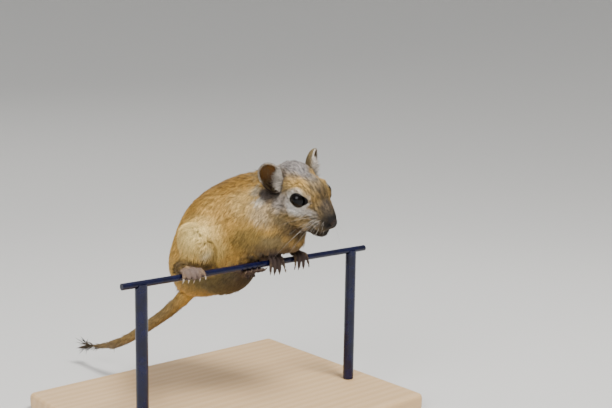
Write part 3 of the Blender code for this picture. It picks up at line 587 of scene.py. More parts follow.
# %% [markdown]
# Lids. A gerbil's lids leave an almond of the ball free, drawn out to a point at the front.
# The skin over the ball is pushed under its surface inside that almond and laid on it
# outside, with a rolled edge between the two, so the real ball shows through a real opening.
# %% Lids
EYE_LOOKS = (0.30, 0.94, 0.06)
LID_HALF_WIDTH, LID_HALF_HEIGHT = 3.25, 3.0
LID_FRONT_CORNER, LID_BACK_CORNER = 1.9, 0.3
LID_FRONT_SHARP, LID_BACK_SHARP = 10, 12
LID_TILT = math.radians(17)
LID_THICK = 0.28
LID_EDGE = 0.35
LID_SLOPE = 0.55                        # how fast the skin falls away from the lid's edge
LID_LOWEST = 1.0
LID_BLENDS_FROM, LID_BLENDS_OVER = 0.5, 2.2
UNDER_BALL = 0.5
EYE_SIDE = -2.0                         # lower than this on the eye's axis is another place
EYE_SURROUND = EYE_RADIUS + 4


def lid_margin(angle):
    """Distance of the lid's edge from the eye's axis, in mm: an almond with two corners."""
    across, above = np.cos(angle - LID_TILT), np.sin(angle - LID_TILT)
    almond = 1 / np.sqrt((across / LID_HALF_WIDTH) ** 2 + (above / LID_HALF_HEIGHT) ** 2)
    front = np.maximum(across, 0) ** LID_FRONT_SHARP
    back = np.maximum(-across, 0) ** LID_BACK_SHARP
    return almond + LID_FRONT_CORNER * front + LID_BACK_CORNER * back


def round_eye(points, side):
    """Distance from the eye's axis and past the lid, height, the axis and the outward way."""
    looks = np.array(head_way(*EYE_LOOKS, side))
    axes = np.array(axes_from(looks, HEAD_AXES.col[0]))
    local = (points - np.array(in_head(*EYE_AT, side))) @ axes
    angle = np.arctan2(local[:, 2] * -side, local[:, 1])
    away = np.hypot(local[:, 1], local[:, 2])
    outward = axes[:, 1] * local[:, 1:2] + axes[:, 2] * local[:, 2:3]
    outward = outward / np.maximum(away, 1e-6)[:, None]
    return away, away - lid_margin(angle), local[:, 0], looks, outward


def cut_lids(points):
    """Opens the skin over each eyeball and rolls the edge into lids."""
    for side in (1, -1):
        away, beyond, height, looks, _ = round_eye(points, side)
        ball = np.sqrt(np.maximum(EYE_RADIUS ** 2 - away ** 2, LID_LOWEST ** 2))
        margin = ball + LID_THICK - LID_SLOPE * np.maximum(beyond, 0)
        edge = (UNDER_BALL + LID_THICK) * smooth(1 + beyond / LID_EDGE) - UNDER_BALL
        lid = np.where(beyond < 0, ball + edge, margin)
        share = 1 - smooth((beyond - LID_BLENDS_FROM) / LID_BLENDS_OVER)
        here = (height > EYE_SIDE) & (away < EYE_SURROUND)
        rise = np.where(here, (lid - height) * share, 0)
        points = points + rise[:, None] * looks
    return points


ring = lid_margin(np.linspace(0, math.tau, 90))
print("lid opening from", round(ring.min(), 1), "to", round(ring.max(), 1), "mm off the eye's axis")

# %% [markdown]
# Mouth and nose. The line of the mouth, the cleft of the lip and the nostrils are grooves
# pressed in the skin. Rays from inside the head find where they run on its surface. Last,
# each point of the skin is drawn back by the depth of the coat at its place, so that the
# fur ends where the solids do, and the lids and grooves are made.
# %% Skin
MOUTH_FROM, MOUTH_OPEN, MOUTH_DROP = (15.5, 0.0, -10.4), 78, -0.10
MOUTH_DEEP, MOUTH_WIDE = 0.75, 0.32
MOUTH_STEPS = 6                         # from the middle to each corner
NOSE_FROM = (23.4, 0.0, -5.8)
CLEFT_DEEP, CLEFT_WIDE = 0.45, 0.24
CLEFT_DROPS = (-1.2, -0.8, -0.45)
NOSTRIL_DEEP, NOSTRIL_WIDE = 0.9, 0.42
NOSTRIL_WAYS = ((0.86, 0.40, -0.20), (0.78, 0.62, -0.10))
RAY_REACH = 0.05


def from_segment(points, start, stop):
    """Distance in mm from each point to a straight stretch of line, and the stretch's run."""
    start = np.array(start)
    run = np.array(stop) - start
    share = np.clip((points - start) @ run / (run @ run), 0, 1)
    return np.linalg.norm(points - start - share[:, None] * run, axis=1), run


def from_line(points, line):
    """Distance in mm from each point to a line through a few points."""
    nearest = np.full(len(points), 1e9)
    for start, stop in zip(line, line[1:]):
        nearest = np.minimum(nearest, from_segment(points, start, stop)[0])
    return nearest


def groove(points, line, deep, wide):
    """How deep each point lies in a rounded groove along a line."""
    return deep * np.exp(-(from_line(points, line) / wide) ** 2)


def way_out(tree, start, way):
    """Where a line from inside the head leaves the skin, in the perch frame."""
    hit = tree.ray_cast(placed(in_head(*start)), head_way(*way), RAY_REACH)[0]
    return (hit - PERCH) / MM


def face_lines(points, corners):
    """The line of the mouth, the cleft of the lip and the two nostrils, on the skin."""
    tree = BVHTree.FromPolygons(points.tolist(), corners.tolist())
    steps = range(2 * MOUTH_STEPS + 1)
    angles = [math.radians(MOUTH_OPEN * (step / MOUTH_STEPS - 1)) for step in steps]
    mouth = [way_out(tree, MOUTH_FROM, (math.cos(a), math.sin(a), MOUTH_DROP)) for a in angles]
    lip = mouth[MOUTH_STEPS]
    cleft = [lip] + [way_out(tree, NOSE_FROM, (1.0, 0.0, drop)) for drop in CLEFT_DROPS]
    nostrils = [[way_out(tree, NOSE_FROM, (x, y * side, z)) for x, y, z in NOSTRIL_WAYS]
                for side in (1, -1)]
    return mouth, cleft, nostrils


def shape_skin(mesh):
    """Draws the wrap back under the coat and presses the lids and grooves; gives the lines."""
    points, ups, _ = mesh_arrays(mesh)
    depth = coat_at(to_perch(points))["depth"] + SWELL
    points = points - ups * depth[:, None] * MM
    points = from_perch(cut_lids(to_perch(points)))
    mesh.vertices.foreach_set("co", points.astype(np.float32).ravel())
    mesh.update()
    points, ups, corners = mesh_arrays(mesh)
    mouth, cleft, nostrils = face_lines(points, corners)
    spots = to_perch(points)
    press = groove(spots, mouth, MOUTH_DEEP, MOUTH_WIDE) + groove(spots, cleft, CLEFT_DEEP, CLEFT_WIDE)
    for nostril in nostrils:
        press = press + groove(spots, nostril, NOSTRIL_DEEP, NOSTRIL_WIDE)
    for foot in FEET:
        for line in toe_gaps(foot):
            press = press + groove(spots, line, TOE_GAP_DEEP, TOE_GAP_WIDE)
    points = points - ups * press[:, None] * MM
    mesh.vertices.foreach_set("co", points.astype(np.float32).ravel())
    mesh.update()
    return mouth, cleft, nostrils


mouth_line, cleft_line, nostril_lines = shape_skin(skin_mesh)
shade_smooth(skin_mesh)
print("skin:", len(skin_mesh.polygons), "faces, mouth line of", len(mouth_line), "points")

# %% [markdown]
# Skin and fur share one finish: dull protein fibre over soft skin. Colour comes from the
# attribute that the markings fill in. A fine noise, about as wide as one hair bundle,
# breaks it up, and a bump of the same size gives short fur where the tufts are thinnest.
# %% Fur and skin finish
HAIR_BUNDLE = 0.22


def fur_material(name, bump, roughness):
    material, tree, shader = principled(name, Roughness=roughness, IOR=1.5)
    shader.inputs["Specular IOR Level"].default_value = 0.25
    colour = add(tree, "ShaderNodeAttribute", attribute_name="coat")
    place = add(tree, "ShaderNodeTexCoord")
    grain = add(tree, "ShaderNodeTexNoise", {"Vector": place.outputs["Object"],
                                             "Scale": 1 / (HAIR_BUNDLE * 2 * MM), "Detail": 3.0})
    light = add(tree, "ShaderNodeMapRange", {"Value": grain.outputs["Fac"], "From Min": 0.3,
                                             "From Max": 0.7, "To Min": 0.82, "To Max": 1.18})
    mixed = add(tree, "ShaderNodeVectorMath", {0: colour.outputs["Color"],
                                               1: light.outputs["Result"]}, operation="MULTIPLY")
    tree.links.new(mixed.outputs["Vector"], shader.inputs["Base Color"])
    if bump:
        relief = add(tree, "ShaderNodeBump", {"Height": grain.outputs["Fac"], "Strength": 0.6,
                                              "Distance": bump * MM})
        tree.links.new(relief.outputs["Normal"], shader.inputs["Normal"])
    return material


skin_finish = fur_material("short_furred_skin", bump=0.12, roughness=0.7)
coat_finish = fur_material("agouti_guard_hair", bump=0.0, roughness=0.55)
print("finishes:", skin_finish.name, "and", coat_finish.name)

# %% [markdown]
# Skin colour. The skin shows only between the tufts, where it is the coat's own colour under
# painted shade, and where it is bare: almost black on the rims of the lids, dark brown on lips,
# nose pad and nostrils, with painted shade in the narrow gaps between the toes.
# %% Skin colour


def paint(mesh, colours):
    """Writes linear colours, one a point, as the attribute that the finish reads."""
    layer = mesh.color_attributes.new("coat", "FLOAT_COLOR", "POINT")
    values = np.ones((len(colours), 4), np.float32)
    values[:, :3] = colours
    layer.data.foreach_set("color", values.ravel())


# painted shade: the skin between the tufts is the coat's colour darkened
SHADE_BETWEEN_TUFTS = 0.72                        # colour between the tufts, as a share of the coat's
LID_SKIN = np.array(linear("#120E0D"))
LIP_SKIN = np.array(linear("#2C2019"))
NOSE_PAD_AT, NOSE_PAD_RADIUS = (27.2, 0.0, -5.6), 1.5
# painted shade in the gaps between the toes, as a share taken off the colour
TOE_GAP_SHADE = 0.75
# reach and blur in mm of the bare skin beside each line
LID_BARE, LIP_BARE, CLEFT_BARE = (0.22, 0.18), (0.25, 0.15), (0.16, 0.12)
NOSTRIL_BARE, PAD_BARE = (0.38, 0.15), (NOSE_PAD_RADIUS, 0.4)
LID_SIDE = -1.5                         # the same as EYE_SIDE, for the rims of the lids


def within(distance, reach, blur):
    """One inside a reach, falling softly to zero past it."""
    return 1 - smooth((distance - reach) / blur)


def bare_skin(spots):
    """How bare the skin is, from 0 to 1: at the lids, and at lips, cleft, nostrils and nose."""
    lids = np.zeros(len(spots))
    for side in (1, -1):
        away, beyond, height, _, _ = round_eye(spots, side)
        near = (height > LID_SIDE) & (away < EYE_SURROUND)
        lids = np.maximum(lids, np.where(near, within(beyond, *LID_BARE), 0))
    lips = within(from_line(spots, mouth_line), *LIP_BARE)
    lips = np.maximum(lips, within(from_line(spots, cleft_line), *CLEFT_BARE))
    for nostril in nostril_lines:
        lips = np.maximum(lips, within(from_line(spots, nostril), *NOSTRIL_BARE))
    pad = np.linalg.norm(spots - np.array(in_head(*NOSE_PAD_AT)), axis=1)
    return lids, np.maximum(lips, within(pad, *PAD_BARE))


def toe_shade(spots):
    """Painted shade in the narrow gaps between the toes: one on the toes, little between them."""
    shade = np.ones(len(spots))
    for foot in FEET:
        for line in toe_gaps(foot):
            shade *= 1 - groove(spots, line, TOE_GAP_SHADE, TOE_GAP_WIDE)
    return shade


def skin_colours(spots):
    colour = coat_at(spots)["colour"] * SHADE_BETWEEN_TUFTS
    lids, lips = bare_skin(spots)
    colour += (LIP_SKIN - colour) * lips[:, None]
    colour *= toe_shade(spots)[:, None]
    return colour + (LID_SKIN - colour) * lids[:, None]


skin_points, skin_ups, skin_corners = mesh_arrays(skin_mesh)
paint(skin_mesh, skin_colours(to_perch(skin_points)))
skin = show("skin", skin_mesh, skin_finish)
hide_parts(*FLESH, "tail_tip")
print("skin replaces", len(FLESH) + 1, "solids")

# %% [markdown]
# The lie of the coat. Hair points away from the nose, runs down the neck and back to the
# rump, along each leg to its foot, and along the tail. It could be combed point by point,
# but a few streams through the body do as well: each is a line from joint to joint, and
# a hair follows the lines near it, laid flat on the skin where it grows. Round the eye the
# coat parts, and everywhere it droops a little.
# %% Streams
# points of each stream, and how far it is felt, in mm
STREAMS = [
    ([in_head(30, 0, -6), in_head(12, 0, 8), in_head(-9, 0, 9)], 8.0),
    ([in_head(29, 0, -9), in_head(6, 0, -8), in_head(-12, 0, -10)], 9.0),
    ([in_head(-6, 0, -2), (46, 4, 22), (37, 14, 15), (31, 30, 0), (29, 44, -15)], 15.0),
    ([(28.6, 44.5, -18), (22.2, 56.5, -31.5), (15.4, 80.8, -48.6), (11, 120, -60)], 6.0),
    ([(24, 16, 22), (13, 14, 10), (7, 12, 1)], 8.0),
    ([(6, 18, -1), (-2, 3.8, 2.6), (-2, 0, -3)], 4.0),
    ([(54, 34, 18), (50, 31, 6), (42, 27, -6)], 8.0),
    ([(41, 26, -8), (31, 4.4, -3.8), (31, 0, 0)], 4.0),
    ([(36.5, 2.5, 15), (36.5, 8, 6), (41.6, 3, 3.4), (41.6, -3, 0)], 5.0),
    ([(54.5, 3, 16), (58, 9.5, 6.5), (55.5, 3, 3.4), (55.5, -3, 0)], 5.0),
]
DROOP = np.array((0.0, 0.0, -0.22))
EYE_PARTS, EYE_PULL = 1.5, 1.6          # reach in mm and strength


def unit(vectors):
    return vectors / np.maximum(np.linalg.norm(vectors, axis=1), 1e-9)[:, None]


def lie_at(points, ups):
    """Unit directions of the hair along the skin, at points of the perch frame."""
    total = np.zeros_like(points)
    for line, radius in STREAMS:
        for start, stop in zip(line, line[1:]):
            away, run = from_segment(points, start, stop)
            total += np.exp(-(away / radius) ** 2)[:, None] * run / np.linalg.norm(run)
    total = unit(total) + DROOP
    for side in (1, -1):
        _, beyond, height, _, outward = round_eye(points, side)
        pull = np.where(height > EYE_SIDE, np.exp(-(np.maximum(beyond, 0) / EYE_PARTS) ** 2), 0)
        total += outward * pull[:, None] * EYE_PULL
    return unit(total - (total * ups).sum(1)[:, None] * ups)


print(len(STREAMS), "streams of hair")

# %% [markdown]
# Tufts. A single hair is far thinner than a pixel, so hairs are drawn as small bundles:
# flat, pointed blades with a low ridge, ten triangles each, sunk a little in the skin and
# laid over one another like thatch. They are made as one joined mesh from arrays, because
# the same seven points are repeated tens of thousands of times. Each blade's shading
# normals lean towards the skin's, which keeps the coat soft where facets would glitter.
# %% Tufts
SUNK = 0.25
UNEVEN_BEND = 0.09                      # sideways, as a share of the length
MIDDLE_AT, MIDDLE_RISE, MIDDLE_BEND, TIP_AT = 0.48, 0.78, 0.3, 0.97
ROOT_HALF, ROOT_RIDGE, MIDDLE_HALF, MIDDLE_RIDGE = 0.35, 0.3, 0.5, 0.32  # shares of the width
LEAN_ASIDE, LEAN_ON = 0.45, 0.2         # of the shading normals
ROOT_SHADE = 0.62
BLADE_POINTS = 7
BLADE = np.array([(0, 3, 4), (0, 4, 1), (1, 4, 5), (1, 5, 2), (0, 2, 5), (0, 5, 3), (0, 1, 2),
                  (3, 6, 4), (4, 6, 5), (5, 6, 3)])
PATCH = 0.003


def tufts(name, roots, ups, ways, length, rise, width, colour, tip_colour, uv, seed):
    """One joined mesh of blades. Places in metres, other sizes in mm."""
    draw = np.random.default_rng(seed)
    count = len(roots)
    length, rise, width = (v[:, None] * MM for v in (length, rise, width))
    side = np.cross(ways, ups)
    bend = side * draw.normal(0, UNEVEN_BEND, (count, 1)) * length
    base = roots - ups * SUNK * MM
    middle = roots + ways * length * MIDDLE_AT + ups * rise * MIDDLE_RISE + bend * MIDDLE_BEND
    tip = roots + ways * length * TIP_AT + ups * rise + bend
    points = np.stack((base - side * width * ROOT_HALF, base + side * width * ROOT_HALF,
                       base + ups * width * ROOT_RIDGE, middle - side * width * MIDDLE_HALF,
                       middle + side * width * MIDDLE_HALF, middle + ups * width * MIDDLE_RIDGE,
                       tip), 1)
    left, right = ups - side * LEAN_ASIDE, ups + side * LEAN_ASIDE
    normals = np.stack((left, right, ups, left, right, ups, ups + ways * LEAN_ON), 1)
    corners = (BLADE[None] + np.arange(count)[:, None, None] * BLADE_POINTS).reshape(-1)
    mesh = bpy.data.meshes.new(name)
    mesh.vertices.add(count * BLADE_POINTS)
    mesh.vertices.foreach_set("co", points.astype(np.float32).ravel())
    mesh.loops.add(len(corners))
    mesh.loops.foreach_set("vertex_index", corners.astype(np.int32))
    mesh.polygons.add(len(corners) // 3)
    mesh.polygons.foreach_set("loop_start", np.arange(0, len(corners), 3, dtype=np.int32))
    mesh.update(calc_edges=True)
    shade_smooth(mesh)
    shades = np.stack([colour * ROOT_SHADE] * 3 + [colour] * 3 + [tip_colour], 1)
    paint(mesh, shades.reshape(-1, 3))
    spread = np.array([(0, 0), (1, 0), (0.5, 0), (0, 0.5), (1, 0.5), (0.5, 0.5), (0.5, 1)]) * PATCH
    patches = (uv[:, None] + spread[None]).reshape(-1, 2)
    layer = mesh.uv_layers.new(name="OFBake")
    layer.data.foreach_set("uv", patches[corners].astype(np.float32).ravel())
    mesh.normals_split_custom_set_from_vertices(unit(normals.reshape(-1, 3)))
    return mesh


print("a blade:", BLADE_POINTS, "points and", len(BLADE), "triangles")

# %% [markdown]
# Each region of the coat is a piece of its own: face, crown, neck, back and so on. A region
# is the skin nearest one solid. Its tufts are strewn evenly by area, denser where the hair
# is short, and their bake map is a real unwrap of that part of the skin, so that every
# tuft keeps its own place and colour when the model is exported.
# %% Regions
SEAM_ANGLE = math.radians(70)
ISLAND_GAP = 0.006
FACE_FROM = 8                           # along the head, in mm: the face is in front of it
TRUNK_MIDDLE = (36, 16, 14)
FLESH_ALL = FLESH + ["tail_tip"]


def nearest_solid(points):
    """For each point in metres, the number in FLESH_ALL of the solid that it lies nearest to."""
    tree = KDTree(sum(len(nodes[name].data.vertices) for name in FLESH_ALL))
    owners = []
    for number, name in enumerate(FLESH_ALL):
        for vert in nodes[name].data.vertices:
            tree.insert(vert.co, len(owners))
            owners.append(number)
    tree.balance()
    return np.array([owners[tree.find(p)[1]] for p in points])


def unwrap(points, corners):
    """Smart unwrap of some triangles of the skin: one UV pair a corner."""
    used, local = np.unique(corners, return_inverse=True)
    mesh = bpy.data.meshes.new("unwrap")
    mesh.from_pydata(points[used].tolist(), [], local.reshape(-1, 3).tolist())
    item = bpy.data.objects.new("unwrap", mesh)
    bpy.context.scene.collection.objects.link(item)
    bpy.context.view_layer.objects.active = item
    item.select_set(True)
    bpy.ops.object.mode_set(mode="EDIT")
    bpy.ops.mesh.select_all(action="SELECT")
    bpy.ops.uv.smart_project(angle_limit=SEAM_ANGLE, island_margin=ISLAND_GAP)
    bpy.ops.object.mode_set(mode="OBJECT")
    uv = np.empty(len(mesh.loops) * 2, np.float32)
    mesh.uv_layers.active.data.foreach_get("uv", uv)
    bpy.data.objects.remove(item, do_unlink=True)
    bpy.data.meshes.remove(mesh)
    return uv.reshape(-1, 3, 2) * (1 - 2 * PATCH)


def middles_and_sizes(points, corners):
    """The middle of each triangle, and twice its area."""
    first, second, third = (points[corners[:, i]] for i in range(3))
    size = np.linalg.norm(np.cross(second - first, third - first), axis=1)
    return (first + second + third) / 3, size


centres, areas = middles_and_sizes(skin_points, skin_corners)
areas = areas / 2 / MM ** 2
owner = nearest_solid(centres)
centres_mm = to_perch(centres)
in_head_frame = (centres_mm - np.array(HEAD_AT)) @ np.array(HEAD_AXES) / HEAD_SCALE
in_trunk = (centres_mm - np.array(TRUNK_MIDDLE)) @ np.array(TRUNK_AXES)


def of_solids(*names):
    return np.isin(owner, [FLESH_ALL.index(name) for name in names])


front_face = of_solids("head") & (in_head_frame[:, 0] > FACE_FROM)
# which triangles of the skin, and how many tufts
REGIONS = {
    "coat_face": (front_face, 19500),
    "coat_crown": (of_solids("head") & ~front_face, 17000),
    "coat_neck": (of_solids("neck"), 17000),
    "coat_back": (of_solids("torso") & (in_trunk[:, 2] > 0), 19500),
    "coat_belly": (of_solids("torso") & (in_trunk[:, 2] <= 0), 17000),
    "coat_hindlegs": (of_solids("hindleg_right", "hindleg_left"), 16000),
    "coat_forelegs": (of_solids("foreleg_right", "foreleg_left"), 6000),
    "coat_feet": (of_solids(*FEET), 6000),
    "coat_tail": (of_solids("tail_base", "tail_mid", "tail_tip"), 7000),
}
print("skin area", round(areas.sum()), "mm2;",
      {name: round(areas[mask].sum()) for name, (mask, _) in REGIONS.items()})


def strewn(points, ups, corners, weights, count, draw):
    """Even random places on a surface: points, normals and bake coordinates."""
    chosen = draw.choice(len(corners), count, p=weights / weights.sum())
    a, b = draw.random((2, count))
    fold = a + b > 1
    a, b = np.where(fold, 1 - a, a), np.where(fold, 1 - b, b)
    parts = np.stack((1 - a - b, a, b), 1)[:, :, None]
    picked = corners[chosen]
    roots = (points[picked] * parts).sum(1)
    uv = (unwrap(points, corners)[chosen] * parts).sum(1)
    return roots, unit((ups[picked] * parts).sum(1)), uv


# %% [markdown]
# Ticking. Agouti hairs are banded, dark at the root and tip and golden between, so the coat
# is flecked, and the flecks gather in soft streaks along its lie. Here each tuft gets its
# own lightness, partly by chance and partly from streaks that run along the trunk, back
# over the brow and down the cheek, and some tufts end in a dark tip, some in a pale one.
# %% Ticking and coat pieces
BROW_TURN = np.array(axes_from((0.79, 0.0, -0.61), (0.0, 1.0, 0.0)))
CHEEK_TURN = np.array(axes_from((0.90, 0.0, 0.44), (0.0, 1.0, 0.0)))
HEAD_STRETCH, TRUNK_STRETCH = (0.16, 1, 1), (0.25, 1, 1)
BROW_STREAK, CHEEK_STREAK, TRUNK_STREAK = 1.0, 1.2, 1.4  # width in mm
HEAD_MIDDLE, HEAD_REACH, HEAD_BLUR = (8, 0, -1), 15, 8
BROW_FROM, BROW_BLUR = -5, 5            # height in the head's frame
STREAK_CONTRAST, TRUNK_SHARE = 1.5, 0.6
TICK_STREAKS, TICK_CHANCE, CHANCE_ALL_OVER = 0.50, 0.28, 0.06
DARKEST, LIGHTEST = 0.35, 1.8
DARK_TIPPED, NOT_PALE_TIPPED = 0.25, 0.7  # of all tufts
DARK_TIP, PALE_TIP, PLAIN_TIP = 0.75, 0.5, 1.05
STRAY_WAVE, STRAY_TOGETHER, STRAY_ALONE = 4.0, 0.2, 0.15
BLADE_WIDE, BLADE_WIDER = 0.08, 0.045   # width in mm, and growth with the length
TOO_BARE = 0.3


def streaks(spots):
    """Soft streaks along the coat, finer on the head than on the trunk."""
    head = (spots - np.array(HEAD_AT)) @ np.array(HEAD_AXES)
    trunk = spots @ np.array(TRUNK_AXES)
    on_head = within(np.linalg.norm(head - HEAD_MIDDLE, axis=1), HEAD_REACH, HEAD_BLUR)
    high = smooth((head[:, 2] - BROW_FROM) / BROW_BLUR)
    brow = ripple(head @ BROW_TURN * HEAD_STRETCH, BROW_STREAK, seed=21)
    cheek = ripple(head @ CHEEK_TURN * HEAD_STRETCH, CHEEK_STREAK, seed=22)
    fine = brow * high + cheek * (1 - high)
    broad = ripple(trunk * TRUNK_STRETCH, TRUNK_STREAK, seed=11)
    return np.tanh(STREAK_CONTRAST * (fine * on_head + TRUNK_SHARE * broad * (1 - on_head)))


def ticked(spots, coat, draw):
    """The colour of each tuft, and how much darker or paler its tip is."""
    count, tick = len(spots), coat["tick"]
    chance = draw.normal(0, TICK_CHANCE, count)
    light = 1 + tick * (TICK_STREAKS * streaks(spots) + chance)
    light = light + draw.normal(0, CHANCE_ALL_OVER, count)
    kind = draw.random(count)
    pale = np.where(kind > NOT_PALE_TIPPED, 1 + PALE_TIP * tick, PLAIN_TIP)
    tip_shade = np.where(kind < DARK_TIPPED, 1 - DARK_TIP * tick, pale)
    return coat["colour"] * np.clip(light, DARKEST, LIGHTEST)[:, None], tip_shade


def coat_piece(name, mask, count, seed):
    """One region's tufts, rooted on the skin and coloured by the markings."""
    draw = np.random.default_rng(seed)
    corners, size = skin_corners[mask], areas[mask]
    density = 1 / np.sqrt(coat_at(centres_mm[mask])["length"])
    lids, lips = bare_skin(centres_mm[mask])
    density *= np.maximum(lids, lips) < TOO_BARE
    roots, ups, uv = strewn(skin_points, skin_ups, corners, size * density, count, draw)
    spots = to_perch(roots)
    coat = coat_at(spots)
    ways = lie_at(spots, ups)
    stray = ripple(spots, STRAY_WAVE, seed=3) * STRAY_TOGETHER + draw.normal(0, STRAY_ALONE, count)
    ways = unit(ways + np.cross(ways, ups) * stray[:, None])
    length = coat["length"] * draw.uniform(0.7, 1.15, count)
    rise = coat["depth"] * draw.uniform(0.4, 1.0, count)
    width = BLADE_WIDE + BLADE_WIDER * length
    colour, tip_shade = ticked(spots, coat, draw)
    # the feet's tufts carry the painted shade between the toes too
    if name == "coat_feet":
        colour = colour * toe_shade(spots)[:, None]
    mesh = tufts(name, roots, ups, ways, length, rise, width, colour,
                 colour * tip_shade[:, None], uv, seed + 1)
    piece = show(name, mesh, coat_finish)
    return piece


for number, (name, (mask, count)) in enumerate(REGIONS.items()):
    piece = coat_piece(name, mask, count, seed=100 + number * 10)
    print(name, len(piece.data.polygons), "triangles")

# %% [markdown]
# Eyes. A gerbil's eye is a black, wet, slightly bulging ball. All that shows is its gloss,
# so it is a smooth sphere of the solid's own size, black at the pupil, with a very dark
# brown iris round it that only strong light finds.
# %% Eyes


def eye_finish():
    material, tree, shader = principled("wet_black_eye", Roughness=0.04, IOR=1.376)
    shader.inputs["Specular IOR Level"].default_value = 0.3
    place = add(tree, "ShaderNodeAttribute", attribute_name="off_axis")
    ramp = add(tree, "ShaderNodeValToRGB", {"Fac": place.outputs["Fac"]})
    ramp_stops(ramp, [(0.0, "#010101"), (0.30, "#010101"), (0.36, "#0A0706"), (0.6, "#070504"),
                      (0.75, "#020101")])
    tree.links.new(ramp.outputs["Color"], shader.inputs["Base Color"])
    return material


eye_material = eye_finish()
for name, side in (("right", -1), ("left", 1)):
    bm = bmesh.new()
    looks, middle = head_way(*EYE_LOOKS, side), placed(in_head(*EYE_AT, side))
    bmesh.ops.create_uvsphere(bm, u_segments=48, v_segments=32, radius=EYE_RADIUS * MM)
    bm = in_order(bm)
    turn = looks.to_track_quat("Z", "Y").to_matrix().to_4x4()
    bmesh.ops.transform(bm, verts=bm.verts, matrix=Matrix.Translation(middle) @ turn)
    ball = smooth_mesh(bm, "eyeball_" + name)
    off_axis = [(v.co - middle).angle(looks) / math.pi * 2 for v in ball.vertices]
    layer = ball.attributes.new("off_axis", "FLOAT", "POINT")
    layer.data.foreach_set("value", off_axis)
    eye = show("eyeball_" + name, ball, eye_material)
    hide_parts("eye_" + name)
print("eyes of", EYE_RADIUS * 2, "mm")

# %% [markdown]
# Ears. Each is a thin oval cup of skin, open to the front and side, with a rolled rim that
# is pale above. Painted shade darkens the rim at its lower rear and the lining deep in the
# cup. A half ellipsoid is cut from a sphere, drawn narrower at its root, and given a wall of
# real thickness by Solidify.
# %% Ears
EAR_ROOT = (-0.8, 9.8, 0.6)
EAR_TIP = (-3.8, 15.2, 12.0)
EAR_WIDTH = 9.1
EAR_DEPTH = 3.6
EAR_TAPER = 0.2
EAR_OPENS = (0.80, 0.60, 0.10)
EAR_WALL = 0.3
EAR_SUNK = 1.0                          # how far each end reaches past root and tip
EAR_CUT = 0.35                          # where the ellipsoid is cut open
EAR_GRAIN = 0.5


def ear_frame(side):
    root, tip = in_head(*EAR_ROOT, side), in_head(*EAR_TIP, side)
    rise = (tip - root).normalized()
    opening = head_way(*EAR_OPENS, side)
    axes = axes_from(opening, rise.cross(opening))
    return root.lerp(tip, 0.5), axes, (tip - root).length / 2 + EAR_SUNK


def ear_finish():
    material, tree, shader = principled("thin_ear_skin", Roughness=0.55, IOR=1.4)
    shader.inputs["Specular IOR Level"].default_value = 0.3
    colour = add(tree, "ShaderNodeAttribute", attribute_name="coat")
    place = add(tree, "ShaderNodeTexCoord")
    grain = add(tree, "ShaderNodeTexNoise", {"Vector": place.outputs["Object"],
                                             "Scale": 1 / (EAR_GRAIN * MM), "Detail": 4.0})
    relief = add(tree, "ShaderNodeBump", {"Height": grain.outputs["Fac"], "Strength": 0.5,
                                          "Distance": 0.1 * MM})
    tree.links.new(colour.outputs["Color"], shader.inputs["Base Color"])
    tree.links.new(relief.outputs["Normal"], shader.inputs["Normal"])
    return material


ear_material = ear_finish()
# the second colour is painted shade, deep in the cup and at the rim's lower rear
EAR_INSIDE, EAR_PAINTED_SHADE, EAR_OUTSIDE, EAR_RIM = (
    np.array(linear(c)) for c in ("#6E4A22", "#281A13", "#85705A", "#8F7A60"))


def build_ear(name, side):
    middle, axes, half_length = ear_frame(side)
    bm = bmesh.new()
    bmesh.ops.create_uvsphere(bm, u_segments=56, v_segments=36, radius=1.0)
    size = Matrix.Diagonal((EAR_DEPTH, EAR_WIDTH / 2, half_length, 1.0))
    bmesh.ops.transform(bm, verts=bm.verts, matrix=size)
    bmesh.ops.bisect_plane(bm, geom=bm.verts[:] + bm.edges[:] + bm.faces[:], dist=1e-5,
                           plane_co=(EAR_CUT, 0, 0), plane_no=(1, 0, 0), clear_outer=True)
    bm = in_order(bm)
    for vert in bm.verts:
        vert.co.y *= 1 + EAR_TAPER * vert.co.z / half_length
    place = Matrix.Translation(placed(middle)) @ axes.to_4x4() @ Matrix.Scale(MM, 4)
    bmesh.ops.transform(bm, verts=bm.verts, matrix=place)
    item = to_object(bm, "ear_cup")
    wall = item.modifiers.new("wall", "SOLIDIFY")
    wall.thickness = EAR_WALL * MM
    wall.offset = -1.0
    round_off = item.modifiers.new("round_off", "SUBSURF")
    round_off.levels = round_off.render_levels = 1
    mesh = baked(item, "ear_" + name)
    points, ups, _ = mesh_arrays(mesh)
    local, way_in = in_ear(points, ups, side)
    inside = smooth(way_in * 2 + 0.4)[:, None]
    # painted shade deep in the cup, towards its root
    deep = smooth(0.5 - local[:, 2] / half_length)[:, None]
    rim = smooth((local[:, 0] + 0.35) / 0.4)[:, None]
    lining = EAR_INSIDE + (EAR_PAINTED_SHADE - EAR_INSIDE) * deep
    # painted shade on the rim at its lower rear
    edge = EAR_RIM + (EAR_PAINTED_SHADE - EAR_RIM) * smooth((0.1 - local[:, 2:] / half_length) / 0.3)
    colour = EAR_OUTSIDE * (1 - inside) + lining * inside
    paint(mesh, colour * (1 - rim) + edge * rim)
    shade_smooth(mesh)
    ear = show("ear_cup_" + name, mesh, ear_material)
    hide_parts("ear_" + name)
    return ear


def in_ear(points, ups, side):
    """Places in the ear's own frame in mm, and how far each normal faces the opening."""
    middle, axes, _ = ear_frame(side)
    local = (to_perch(points) - np.array(middle)) @ np.array(axes)
    return local, (ups @ np.array(axes))[:, 0]


print("ear cup:", round(2 * ear_frame(1)[2], 1), "mm high and", EAR_WIDTH, "mm wide")

